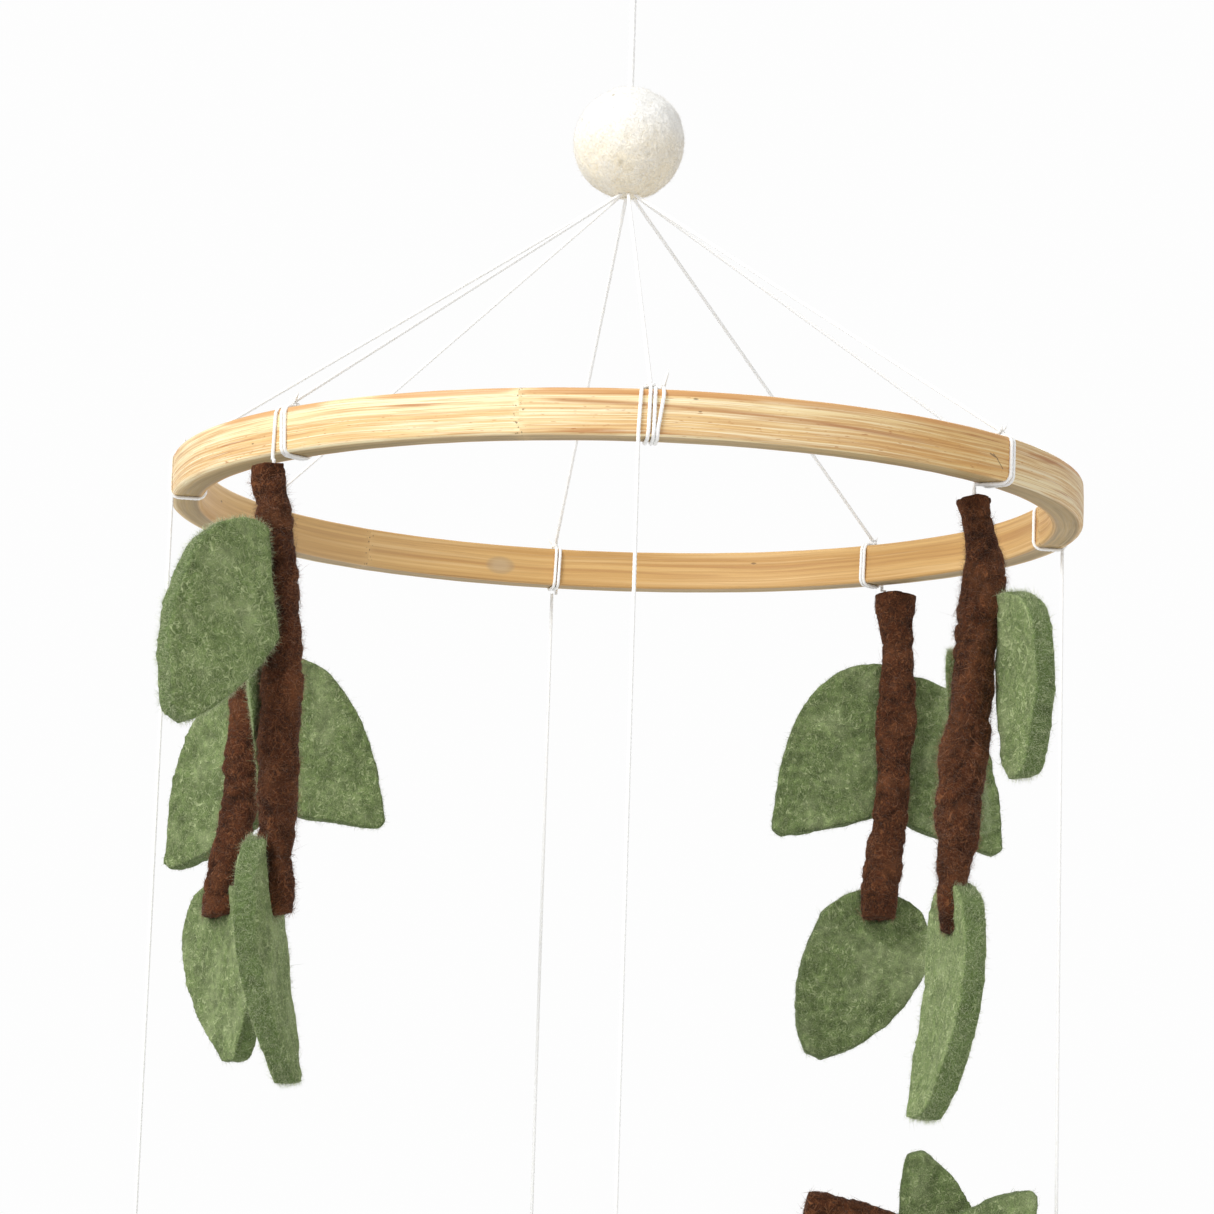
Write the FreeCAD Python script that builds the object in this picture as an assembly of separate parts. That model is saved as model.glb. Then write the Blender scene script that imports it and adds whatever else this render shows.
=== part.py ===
import FreeCAD, Part
import math
import os

# Crib mobile: a bamboo hoop hung by eight cotton cords from a wool felt ball, with four felt branches
# on short strings and four felt sprigs on long strings. Millimetres, +Z up.
# The origin is the top of the hanging loop, where a hook bears. The ball's axis is X = Y = 0.
# Angles round the hoop are counted from its -Y point towards +X.

# Driving dimensions: hoop
HOOP_OUTER_RADIUS = 120.0
HOOP_DEPTH = 8.0
HOOP_HEIGHT = 11.0
HOOP_EDGE_RADIUS = 1.6
HOOP_Z = -190.0
HOOP_SHIFT = (2.3, 0.3)

# Driving dimensions: ball, cords and knots
BALL_RADIUS = 15.0
BALL_Z = HOOP_Z + 99.0
CORD_RADIUS = 0.5
HANGING_CORD_RADIUS = 0.9
LOOP_LENGTH = 34.0
LOOP_BEND_RADIUS = 6.5
CORE_KNOT_RADIUS = 3.0
CORD_RING_RADIUS = 1.75
CORD_CLEARANCE = 0.05
MOUTH_BEND_RADIUS = 5.0
STRING_START = 1.45
TWIG_BORE_RADIUS = 0.95
TWIG_BORE_DEPTH = 9.0

# Driving dimensions: felt
LEAF_THICKNESS = 6.0

UP = FreeCAD.Vector(0, 0, 1)
ORIGIN = FreeCAD.Vector(0, 0, 0)
HOOP_BOTTOM = HOOP_Z - HOOP_HEIGHT / 2
HOOP_TOP = HOOP_Z + HOOP_HEIGHT / 2
HOOP_MIDDLE_RADIUS = HOOP_OUTER_RADIUS - HOOP_DEPTH / 2
PIVOT_Z = HOOP_BOTTOM - STRING_START

os.makedirs("parts", exist_ok=True)


def save(shape, name):
    shape.exportStep("parts/" + name + ".step")


def on_hoop(angle, radius, z):
    turn = math.radians(angle)
    x = HOOP_SHIFT[0] + radius * math.sin(turn)
    y = HOOP_SHIFT[1] - radius * math.cos(turn)
    return FreeCAD.Vector(x, y, z)


def tangent(angle):
    turn = math.radians(angle)
    return FreeCAD.Vector(math.cos(turn), math.sin(turn), 0)


def rounded_rectangle(width, height, corner):
    """A closed wire in the XZ plane, centred on the origin."""
    a = width / 2
    b = height / 2
    k = corner * (1 - math.sqrt(0.5))
    edges = []
    for sx, sz in ((1, 1), (-1, 1), (-1, -1), (1, -1)):
        upright = FreeCAD.Vector(sx * a, 0, sz * (b - corner))
        middle = FreeCAD.Vector(sx * (a - k), 0, sz * (b - k))
        level = FreeCAD.Vector(sx * (a - corner), 0, sz * b)
        first, last = (upright, level) if sx * sz > 0 else (level, upright)
        edges.append((first, middle, last))
    wire = []
    for i, (first, middle, last) in enumerate(edges):
        wire.append(Part.Arc(first, middle, last).toShape())
        following = edges[(i + 1) % 4][0]
        wire.append(Part.makeLine(last, following))
    return Part.Wire(wire)


def cord_along(path, radius):
    """A round cord swept along a wire."""
    start = path.Edges[0].valueAt(path.Edges[0].FirstParameter)
    heading = path.Edges[0].tangentAt(path.Edges[0].FirstParameter)
    section = Part.Wire([Part.makeCircle(radius, start, heading)])
    return path.makePipeShell([section], True, True)


def straight_cord(start, end, radius):
    along = end - start
    return Part.makeCylinder(radius, along.Length, start, along)


# Hoop
section = Part.Face(rounded_rectangle(HOOP_DEPTH, HOOP_HEIGHT, HOOP_EDGE_RADIUS))
section.translate(FreeCAD.Vector(HOOP_MIDDLE_RADIUS, 0, HOOP_Z))
hoop = section.revolve(ORIGIN, UP, 360)
hoop.translate(FreeCAD.Vector(HOOP_SHIFT[0], HOOP_SHIFT[1], 0))
save(hoop, "bamboo_hoop")

# Ball, with a bore for the hanging cord, a pocket for the knot and a flared mouth for the eight cords
ball_centre = FreeCAD.Vector(0, 0, BALL_Z)
ball = Part.makeSphere(BALL_RADIUS, ball_centre)
upper_bore = Part.makeCylinder(HANGING_CORD_RADIUS + 0.4, BALL_RADIUS + 1, ball_centre)
pocket = Part.makeSphere(CORE_KNOT_RADIUS + 0.3, ball_centre)
mouth_radius = CORD_RING_RADIUS + CORD_RADIUS + 0.3
lower_bore = Part.makeCylinder(mouth_radius, BALL_RADIUS + 1, ball_centre, -UP)
flare_top = FreeCAD.Vector(0, 0, BALL_Z - 10.5)
flare = Part.makeCone(mouth_radius - 0.1, mouth_radius + 4.6, 5.5, flare_top, -UP)
ball = ball.cut(upper_bore.fuse([pocket, lower_bore, flare]))
save(ball, "felt_ball")

# Knot inside the ball that gathers the eight cords
knot = Part.makeSphere(CORE_KNOT_RADIUS, ball_centre)
knot = knot.cut(Part.makeBox(12, 12, 6, FreeCAD.Vector(-6, -6, BALL_Z + 1.6)))
save(knot, "core_knot")

# Hanging loop: a cord that rises from inside the ball to a knotted loop
loop_base = FreeCAD.Vector(0, 0, -LOOP_LENGTH)
loop_centre_z = -HANGING_CORD_RADIUS - LOOP_BEND_RADIUS
leg_drop = LOOP_LENGTH + loop_centre_z
leg_angle = math.acos(LOOP_BEND_RADIUS / leg_drop)
touch_x = LOOP_BEND_RADIUS * math.sin(leg_angle)
touch_z = loop_centre_z - LOOP_BEND_RADIUS * math.cos(leg_angle)
loop_right = FreeCAD.Vector(touch_x, 0, touch_z)
loop_left = FreeCAD.Vector(-touch_x, 0, touch_z)
across = FreeCAD.Vector(0, 1, 0)
bend_circle = Part.makeCircle(HANGING_CORD_RADIUS, loop_right, loop_right - loop_base)
bend_section = Part.Face(Part.Wire([bend_circle]))
bend_turn = 360 - 2 * math.degrees(leg_angle)
bend = bend_section.revolve(FreeCAD.Vector(0, 0, loop_centre_z), across, -bend_turn)
right_leg = straight_cord(loop_base, loop_right, HANGING_CORD_RADIUS)
left_leg = straight_cord(loop_base, loop_left, HANGING_CORD_RADIUS)
loop = bend.fuse([right_leg, left_leg])
loop_knot = Part.makeSphere(2.4, loop_base)
hanging_cord = straight_cord(FreeCAD.Vector(0, 0, BALL_Z + 2.0), loop_base, HANGING_CORD_RADIUS)
save(loop.fuse([loop_knot, hanging_cord]).removeSplitter(), "hanging_loop")

# Lashings: for each one its number, its angle on the hoop and its wraps' offsets along the hoop
LASHINGS = (
    (1, 315.5, (0.0, 1.9, 3.0, 4.1)),
    (2, 1.0, (0.0, 2.3, 3.4, 5.0)),
    (3, 50.0, (0.0, 1.15)),
    (4, 98.0, (0.0,)),
    (5, 141.4, (-1.1, 0.0, 1.1)),
    (6, 190.5, (-1.2, 0.0, 1.2)),
    (7, 281.5, (0.0,)),
    (8, 241.0, (0.0, 1.1)),
)


def lashing(angle, offsets):
    """Wraps of cord round the hoop's section, tied together by a short strand across its top."""
    gap = CORD_RADIUS + CORD_CLEARANCE
    path = rounded_rectangle(HOOP_DEPTH + 2 * gap, HOOP_HEIGHT + 2 * gap, HOOP_EDGE_RADIUS + gap)
    wrap = cord_along(path, CORD_RADIUS)
    wrap.translate(FreeCAD.Vector(HOOP_MIDDLE_RADIUS, 0, HOOP_Z))
    top = HOOP_Z + HOOP_HEIGHT / 2 + gap
    span = max(offsets) - min(offsets) + 1.2
    wraps = []
    for offset in offsets:
        placed = wrap.copy()
        placed.rotate(ORIGIN, UP, math.degrees(offset / HOOP_MIDDLE_RADIUS))
        wraps.append(placed)
    strand_start = FreeCAD.Vector(HOOP_MIDDLE_RADIUS + 0.8, min(offsets) - 0.6, top + 0.15)
    wraps.append(Part.makeCylinder(CORD_RADIUS, span, strand_start, FreeCAD.Vector(0, 1, 0)))
    whole = wraps[0].fuse(wraps[1:])
    whole.rotate(ORIGIN, UP, angle - 90)
    whole.translate(FreeCAD.Vector(HOOP_SHIFT[0], HOOP_SHIFT[1], 0))
    return whole


for number, angle, offsets in LASHINGS:
    save(lashing(angle, offsets), "lashing_" + str(number))


def support_cord(angle):
    """A cord that drops from the core knot, bends out over the ball's mouth and runs to a lashing."""
    end = on_hoop(angle, HOOP_MIDDLE_RADIUS + 0.8, HOOP_TOP + 3 * CORD_RADIUS + 0.5)
    flat = FreeCAD.Vector(end.x, end.y, 0)
    reach = flat.Length
    flat.normalize()
    bend_top = BALL_Z - BALL_RADIUS + 3.5
    turn = math.radians(60)
    for _ in range(30):
        out = CORD_RING_RADIUS + MOUTH_BEND_RADIUS * (1 - math.cos(turn))
        low = bend_top - MOUTH_BEND_RADIUS * math.sin(turn)
        turn = math.atan2(reach - out, low - end.z)
    half_out = CORD_RING_RADIUS + MOUTH_BEND_RADIUS * (1 - math.cos(turn / 2))
    half_low = bend_top - MOUTH_BEND_RADIUS * math.sin(turn / 2)
    top = flat * CORD_RING_RADIUS + UP * (BALL_Z - CORE_KNOT_RADIUS - 0.1)
    bend_start = flat * CORD_RING_RADIUS + UP * bend_top
    bend_middle = flat * half_out + UP * half_low
    bend_end = flat * out + UP * low
    bend = Part.Arc(bend_start, bend_middle, bend_end).toShape()
    drop = Part.makeLine(top, bend_start)
    run = Part.makeLine(bend_end, end)
    return cord_along(Part.Wire([drop, bend, run]), CORD_RADIUS)


for number, angle, offsets in LASHINGS:
    cord_angle = angle + math.degrees(0.5 * (min(offsets) + max(offsets)) / HOOP_MIDDLE_RADIUS)
    save(support_cord(cord_angle), "support_cord_" + str(number))


def leaf(length, width, skew, fullness=0.64, tip=1.4):
    """A thick felt leaf in the XZ plane. Its base is at the origin and its tip lies along +X.

    skew bends the tip towards +Z. fullness is how wide it still is near its tip, and tip is half the
    width of its blunt end.
    """
    half = width / 2
    shares = ((0.0, 0.0), (0.055, 0.6), (0.2, 0.95), (0.44, 1.0), (0.74, fullness))
    upper = [FreeCAD.Vector(length * a, 0, half * b + skew * a * a) for a, b in shares]
    lower = [FreeCAD.Vector(length * a, 0, -half * b + skew * a * a) for a, b in shares]
    upper.append(FreeCAD.Vector(length, 0, skew + tip))
    lower.append(FreeCAD.Vector(length, 0, skew - tip))
    lower.reverse()
    outline = []
    for side in (upper, lower):
        curve = Part.BSplineCurve()
        curve.interpolate(side)
        outline.append(curve.toShape())
    outline.insert(1, Part.makeLine(upper[-1], lower[0]))
    plate = Part.Face(Part.Wire(outline)).extrude(FreeCAD.Vector(0, LEAF_THICKNESS, 0))
    plate.translate(FreeCAD.Vector(0, -LEAF_THICKNESS / 2, 0))
    return plate


def side_leaf(size, azimuth, droop, hidden, attach, back):
    """A leaf that points away from an upright twig along an azimuth and droops below level.

    hidden is how much of its base end is cut off where it meets the twig.
    """
    shape = leaf(*size)
    shape.rotate(ORIGIN, FreeCAD.Vector(0, 1, 0), droop)
    shape.translate(FreeCAD.Vector(-hidden, back, 0))
    keep = Part.makeBox(200, 40, 200, FreeCAD.Vector(0.4, -20, -100))
    shape = shape.common(keep)
    shape.rotate(ORIGIN, UP, azimuth)
    shape.translate(FreeCAD.Vector(attach[0], attach[1], -attach[2]))
    return shape


def hung_leaf(size, azimuth, turn, lean, place, back):
    """A leaf in an upright plane that holds an azimuth. turn is from that azimuth down to its tip.

    lean swings the whole leaf sideways about its base.
    """
    shape = leaf(*size)
    shape.rotate(ORIGIN, FreeCAD.Vector(0, 1, 0), turn)
    shape.translate(FreeCAD.Vector(0, back, 0))
    shape.rotate(ORIGIN, UP, azimuth)
    shape.rotate(ORIGIN, FreeCAD.Vector(0, 1, 0), lean)
    shape.translate(FreeCAD.Vector(*place))
    return shape


def twig(stations, level):
    """A felt twig lofted through round sections: distance along, side, depth and radius of each."""
    sections = []
    for distance, side, depth, radius in stations:
        centre = FreeCAD.Vector(side, depth, -distance)
        sections.append(Part.Wire([Part.makeCircle(radius, centre, UP)]))
    shape = Part.makeLoft(sections, True, False)
    if level:
        shape.rotate(ORIGIN, FreeCAD.Vector(0, 1, 0), -90)
    return shape


def largest_solid(shape):
    return max(shape.Solids, key=lambda solid: solid.Volume)


def solid_union(shapes):
    return shapes[0].fuse(shapes[1:]) if len(shapes) > 1 else shapes[0]


def centre_of_mass(shapes):
    volume = sum(s.Volume for s in shapes)
    centre = FreeCAD.Vector(0, 0, 0)
    for s in shapes:
        centre = centre + s.CenterOfMass * (s.Volume / volume)
    return centre


def turn_all(shapes, rotation):
    for s in shapes:
        s.rotate(ORIGIN, rotation.Axis, math.degrees(rotation.Angle))


def save_pendant(prefix, names, shapes, pivot, string_length):
    """Hangs a twig and its leaves from a pivot, so that their centre of mass is straight below it."""
    stem = shapes[0]
    pieces = [largest_solid(stem)]
    for s in shapes[1:]:
        pieces.append(largest_solid(s.cut(solid_union(pieces))))
    turn_all(pieces, FreeCAD.Rotation(centre_of_mass(pieces), -UP))
    bore_top = FreeCAD.Vector(0, 0, -string_length + 6)
    bore = Part.makeCylinder(TWIG_BORE_RADIUS, TWIG_BORE_DEPTH + 6, bore_top, -UP)
    pieces = [largest_solid(p.cut(bore)) for p in pieces]
    for piece, name in zip(pieces, names):
        piece.translate(pivot)
        save(piece, prefix + "_" + name)
    end = pivot - UP * (string_length + TWIG_BORE_DEPTH - 1.2)
    string = straight_cord(pivot, end, CORD_RADIUS)
    end_knot = Part.makeSphere(TWIG_BORE_RADIUS - 0.15, end + UP * 0.6)
    save(string.fuse(end_knot).removeSplitter(), prefix + "_string")


# Branches, each about its pivot under the hoop. Sizes are length, width and skew; places are side,
# depth and distance below the pivot.
BRANCH_PARTS = ("twig", "left_leaf", "right_leaf", "end_leaf")

branch_1 = [
    twig(
        (
            (1.4, -1.4, 0.0, 3.9),
            (18.0, -1.8, 0.2, 4.3),
            (36.0, -2.8, 0.4, 4.6),
            (54.0, -4.4, 0.2, 4.9),
            (72.0, -6.8, 0.0, 4.9),
            (90.0, -9.2, 0.0, 4.2),
            (108.0, -10.4, 0.0, 2.2),
        ),
        False,
    ),
    side_leaf((53, 29, -4, 0.72, 3.0), 220, 50, 1.0, (-7.0, -1.4, 18.8), 3.9),
    side_leaf((57, 36, 2), 97, 50, 5.0, (-2.4, 0.2, 44.0), 6.0),
    hung_leaf((58, 32, 3, 0.72, 3.0), 84, 88, 1.5, (-8.4, 1.5, -89.0), 4.2),
]

branch_2 = [
    twig(
        (
            (1.4, -1.2, 0.0, 4.6),
            (20.0, -3.0, 0.0, 4.4),
            (38.0, -4.2, 0.0, 4.4),
            (56.0, -5.4, 0.0, 5.0),
            (74.0, -7.0, 0.0, 5.3),
            (90.0, -9.4, 0.0, 5.8),
            (103.0, -11.4, 0.0, 5.8),
        ),
        False,
    ),
    side_leaf((59, 38, 2), 144, 52, 6.0, (-4.6, 0.0, 41.0), -4.7),
    side_leaf((61, 40, 2), 4, 47, 6.0, (-4.2, 0.0, 34.5), 5.3),
    hung_leaf((51, 34, 2, 0.72, 3.2), -52, 82, -1, (-17.4, 1.8, -93.0), 5.6),
]

branch_3 = [
    twig(
        (
            (1.4, 3.3, 0.0, 6.4),
            (7.0, 3.6, 0.0, 5.4),
            (24.0, 4.2, 0.0, 4.9),
            (42.0, 3.8, 0.0, 5.4),
            (60.0, 3.4, 0.0, 5.0),
            (78.0, 1.4, 0.0, 5.4),
            (97.0, 0.2, 0.0, 4.9),
        ),
        False,
    ),
    side_leaf((61, 41, 3), 180, 51, 7.0, (3.8, 0.0, 27.0), -5.4),
    side_leaf((60, 38, 2), 4, 52, 7.0, (3.8, 0.0, 29.5), 5.4),
    hung_leaf((52, 34, -6, 0.76, 2.6), 6, 108, 0, (4.6, 1.2, -89.0), 5.6),
]

branch_4 = [
    twig(
        (
            (2.4, -0.4, 0.0, 4.2),
            (16.0, 0.6, 0.0, 4.4),
            (30.0, -0.6, 0.0, 5.4),
            (48.0, -4.2, 0.0, 5.0),
            (66.0, -7.6, 0.0, 5.8),
            (84.0, -11.0, 0.0, 4.9),
            (107.0, -13.2, 0.0, 2.6),
        ),
        False,
    ),
    side_leaf((50, 34, 2), 80, 50, 1.4, (-1.8, 0.4, 42.0), 6.0),
    side_leaf((44, 33, -2, 0.66, 3.2), 291, 82, -3.2, (-0.6, -0.2, 27.6), 5.4),
    hung_leaf((56, 31, -3, 0.78, 4.0), 283, 90, 10.5, (-15.4, 2.0, -94.0), 4.4),
]

BRANCHES = (
    ("branch_1", branch_1, 315.5, 120.6, 1.6),
    ("branch_2", branch_2, 241.4, 117.0, 1.6),
    ("branch_3", branch_3, 140.3, 120.0, 1.6),
    ("branch_4", branch_4, 48.5, 112.0, 2.2),
)

for name, shapes, angle, radius, string_length in BRANCHES:
    save_pendant(name, BRANCH_PARTS, shapes, on_hoop(angle, radius, PIVOT_Z), string_length)

# Sprigs: a nearly level twig with two leaves across it and one at its lower end
SPRIG_PARTS = ("twig", "upper_leaf", "middle_leaf", "end_leaf")
SPRIGS = (
    ("sprig_1", 1.0, 120.6, 4.0, 205.0, 11.0),
    ("sprig_2", 98.5, 119.6, 2.0, 184.6, 11.0),
    ("sprig_3", 190.5, 120.6, 188.0, 214.0, 9.0),
    ("sprig_4", 281.5, 120.0, 100.0, 211.0, 12.0),
)


def sprig(tilt):
    """A sprig about the point of its twig that is over its centre of mass."""
    stem = twig(
        (
            (6.5, 0.0, 0.0, 4.6),
            (18.0, 0.6, 0.2, 4.6),
            (34.0, -0.4, 0.0, 4.9),
            (52.0, 0.4, 0.0, 4.7),
            (74.0, 0.2, 0.0, 4.7),
            (98.0, -0.6, 0.0, 4.5),
            (120.0, -1.6, 0.0, 3.6),
        ),
        True,
    )
    pieces = [
        stem,
        hung_leaf((47, 22, 4, 0.78, 2.2), 0, -112, 0, (54.0, 0, -21.4), 6.0),
        hung_leaf((46, 30, 2), 0, -61, 0, (42.2, 0, -23.9), -6.0),
        hung_leaf((54, 36, -2), 0, 48, 0, (106.0, 0, 3.0), 5.8),
    ]
    pieces = [largest_solid(p) for p in pieces]
    turn_all(pieces, FreeCAD.Rotation(FreeCAD.Vector(0, 1, 0), tilt))
    centre = centre_of_mass(pieces)
    along = centre.x / math.cos(math.radians(tilt))
    top = -along * math.sin(math.radians(tilt)) + 4.7
    for piece in pieces:
        piece.translate(FreeCAD.Vector(-centre.x, -centre.y, -top))
    return pieces


for name, angle, radius, azimuth, string_length, tilt in SPRIGS:
    pieces = sprig(tilt)
    for piece in pieces:
        piece.rotate(ORIGIN, UP, azimuth)
        piece.translate(FreeCAD.Vector(0, 0, -string_length))
    save_pendant(name, SPRIG_PARTS, pieces, on_hoop(angle, radius, PIVOT_Z), string_length)
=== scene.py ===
import math

import bpy
import numpy as np
from mathutils import Matrix, Vector, noise


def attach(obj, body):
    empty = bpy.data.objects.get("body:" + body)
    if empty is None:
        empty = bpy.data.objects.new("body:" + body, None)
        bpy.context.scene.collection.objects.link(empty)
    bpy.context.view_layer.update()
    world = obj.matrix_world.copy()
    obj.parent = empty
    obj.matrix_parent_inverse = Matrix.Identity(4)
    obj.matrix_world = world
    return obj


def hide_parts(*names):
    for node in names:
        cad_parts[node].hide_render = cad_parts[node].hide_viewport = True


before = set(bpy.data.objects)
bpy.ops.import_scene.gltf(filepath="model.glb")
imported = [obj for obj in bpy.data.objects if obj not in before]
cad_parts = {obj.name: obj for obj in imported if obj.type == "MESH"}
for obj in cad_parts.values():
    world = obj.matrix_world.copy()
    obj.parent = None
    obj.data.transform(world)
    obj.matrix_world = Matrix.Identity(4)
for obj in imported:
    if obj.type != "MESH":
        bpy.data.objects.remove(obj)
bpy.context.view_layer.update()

# Dimensions, in metres. Angles on the hoop are in degrees from its -Y point towards +X.
MM = 0.001
HOOP_CENTRE = np.array((2.3, 0.3, -190.0)) * MM
HOOP_RADIUS = 120.0 * MM
HOOP_DEPTH = 8.0 * MM
HOOP_HEIGHT = 11.0 * MM
HOOP_EDGE = 1.6 * MM
HOOP_MIDDLE = HOOP_RADIUS - HOOP_DEPTH / 2
BALL_CENTRE = np.array((0.0, 0.0, -91.0)) * MM
BALL_RADIUS = 15.0 * MM
CORD_RADIUS = 0.5 * MM
HANGING_CORD_RADIUS = 0.9 * MM
PIVOT_Z = -196.95 * MM
FLOOR_Z = -0.53
FLOOR_RADIUS = 1.5
FLOOR_RINGS = 16
FLOOR_SIDES = 96

# The camera's place below the hoop's centre and how it's turned, in metres and radians, and its lens
# in millimetres
CAMERA_DISTANCE = 0.8342
CAMERA_DROP = math.radians(10.16)
CAMERA_YAW = -0.0055
CAMERA_PITCH = 0.1444
CAMERA_ROLL = 0.0302
CAMERA_LENS = 92.96

BRANCHES = ("branch_1", "branch_2", "branch_3", "branch_4")
SPRIGS = ("sprig_1", "sprig_2", "sprig_3", "sprig_4")
NEAR_BRANCHES = ("branch_1", "branch_4")  # whose finest fibres show

# Each pendant's string: its angle on the hoop, its radius and its length, in millimetres
STRINGS = {
    "branch_1": (315.5, 120.6, 9.4),
    "branch_2": (241.4, 117.0, 9.4),
    "branch_3": (140.3, 120.0, 9.4),
    "branch_4": (48.5, 112.0, 10.0),
    "sprig_1": (1.0, 120.6, 212.8),
    "sprig_2": (98.5, 119.6, 192.4),
    "sprig_3": (190.5, 120.6, 221.8),
    "sprig_4": (281.5, 120.0, 218.8),
}


# ---- mesh helpers


def on_hoop(angle, radius, z):
    turn = math.radians(angle)
    x = HOOP_CENTRE[0] + radius * math.sin(turn)
    y = HOOP_CENTRE[1] - radius * math.cos(turn)
    return np.array((x, y, z))


def further(angle, distance):
    """The angle that lies a distance further along the hoop."""
    return angle + math.degrees(distance / HOOP_MIDDLE)


def distance_between(angle, start, radius):
    """How far along the hoop an angle lies from another one."""
    return math.remainder(angle - start, 360) * math.pi / 180 * radius


def link(name, data):
    piece = bpy.data.objects.new(name, data)
    bpy.context.scene.collection.objects.link(piece)
    return piece


def mesh_of(name, points, faces):
    """A smooth mesh from an array of points and an array of faces that all have as many corners."""
    mesh = bpy.data.meshes.new(name)
    count, corners = faces.shape
    mesh.vertices.add(len(points))
    mesh.vertices.foreach_set("co", np.ascontiguousarray(points, np.float32).ravel())
    mesh.loops.add(count * corners)
    mesh.loops.foreach_set("vertex_index", np.ascontiguousarray(faces, np.int32).ravel())
    mesh.polygons.add(count)
    mesh.polygons.foreach_set("loop_start", np.arange(0, count * corners, corners, dtype=np.int32))
    mesh.update(calc_edges=True)
    mesh.validate()
    mesh.shade_smooth()
    return mesh


def joined(parts):
    """Points and faces of several (points, faces) pairs as one pair."""
    points, faces, start = [], [], 0
    for part_points, part_faces in parts:
        points.append(part_points)
        faces.append(part_faces + start)
        start += len(part_points)
    return np.concatenate(points), np.concatenate(faces)


def store(mesh, name, values):
    layer = mesh.attributes.new(name, "FLOAT", "POINT")
    layer.data.foreach_set("value", np.ascontiguousarray(values, np.float32))


def vectors_of(items, key):
    flat = np.empty(len(items) * 3, np.float32)
    items.foreach_get(key, flat)
    return flat.reshape(-1, 3).astype(float)


def points_of(mesh):
    return vectors_of(mesh.vertices, "co")


def normals_of(mesh):
    return vectors_of(mesh.vertex_normals, "vector")


def triangles_of(mesh):
    mesh.calc_loop_triangles()
    flat = np.empty(len(mesh.loop_triangles) * 3, np.int32)
    mesh.loop_triangles.foreach_get("vertices", flat)
    return flat.reshape(-1, 3)


def lumps(points, size, seed):
    """Smooth noise of about -1 to 1 at each point, with features of that size in metres."""
    shift = Vector((seed * 3.7, seed * 1.9, seed * 5.3))
    return np.array([noise.noise(Vector(p) / size + shift) for p in points])


def smooth_step(x, low, high):
    t = np.clip((x - low) / (high - low), 0, 1)
    return t * t * (3 - 2 * t)


# ---- cord geometry


def spline_points(name, points):
    """Points along the NURBS spline that has these control points."""
    curve = bpy.data.curves.new(name + "_route", "CURVE")
    curve.dimensions = "3D"
    curve.resolution_u = 32
    spline = curve.splines.new("NURBS")
    spline.points.add(len(points) - 1)
    for control, co in zip(spline.points, points):
        control.co = (co[0], co[1], co[2], 1)
    spline.order_u = 3
    spline.use_endpoint_u = True
    holder = bpy.data.objects.new(name + "_route", curve)
    mesh = bpy.data.meshes.new_from_object(holder)
    line = points_of(mesh)
    bpy.data.objects.remove(holder)
    bpy.data.curves.remove(curve)
    bpy.data.meshes.remove(mesh)
    return line


def evenly(line, step):
    """The same line at even steps."""
    lengths = np.linalg.norm(np.diff(line, axis=0), axis=1)
    along = np.concatenate(([0], np.cumsum(lengths)))
    count = max(3, int(round(along[-1] / step)) + 1)
    at = np.linspace(0, along[-1], count)
    return np.stack([np.interp(at, along, line[:, i]) for i in range(3)], 1), at


def frames_along(line):
    """Two directions across the line at each of its points, turning as little as they can."""
    heading = np.gradient(line, axis=0)
    heading /= np.linalg.norm(heading, axis=1)[:, None]
    side = np.cross(heading[0], (0.3, 0.9, 0.2))
    sides = []
    for direction in heading:
        side = side - direction * side.dot(direction)
        side = side / np.linalg.norm(side)
        sides.append(side)
    sides = np.array(sides)
    return sides, np.cross(heading, sides)


# A twisted cord: its plies, how far out their middles and the grooves between them lie and how thick
# they are, as shares of its radius, and the step between its rings as a share of its pitch
PLY_COUNT = 3
PLY_OUT = 0.536
PLY_RADIUS = 0.464
GROOVE_FLOOR = 0.88
CORD_SIDES = 12
RING_STEP = 0.11
THINNEST_END = 0.16


def ply_outline():
    """How far each side of a twisted cord's section is from its middle, as a share of its radius."""
    angles = np.arange(CORD_SIDES) * 2 * math.pi / CORD_SIDES
    lobe = 2 * math.pi / PLY_COUNT
    off = (angles + lobe / 2) % lobe - lobe / 2
    bulge = np.sqrt(np.maximum(PLY_RADIUS**2 - (PLY_OUT * np.sin(off)) ** 2, 0))
    return angles, np.maximum(PLY_OUT * np.cos(off) + bulge, GROOVE_FLOOR)


def twisted_cord(line, radius, pitch, phase=0.0, taper=0.0):
    """Points and triangles of a three-ply cord along a line. taper thins its last part, in metres."""
    path, at = evenly(line, pitch * RING_STEP)
    sides, ups = frames_along(path)
    angles, reach = ply_outline()
    turn = phase - 2 * math.pi * at[:, None] / pitch + angles[None, :]
    size = np.full(len(path), radius)
    if taper:
        size *= np.clip((at[-1] - at) / taper, THINNEST_END, 1)
    ring = size[:, None] * reach[None, :]
    across = np.cos(turn)[..., None] * sides[:, None, :] + np.sin(turn)[..., None] * ups[:, None, :]
    points = (path[:, None, :] + ring[..., None] * across).reshape(-1, 3)
    rings, n = len(path), CORD_SIDES
    k = np.arange(n)
    following = (k + 1) % n
    base = (np.arange(rings - 1) * n)[:, None]
    one = np.stack([base + k, base + following, base + n + following], -1).reshape(-1, 3)
    two = np.stack([base + k, base + n + following, base + n + k], -1).reshape(-1, 3)
    end = (rings - 1) * n
    first_cap = np.stack([following, k, np.full(n, len(points))], -1)
    last_cap = np.stack([end + k, end + following, np.full(n, len(points) + 1)], -1)
    points = np.concatenate([points, path[:1], path[-1:]])
    return points, np.concatenate([one, two, first_cap, last_cap])


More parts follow.
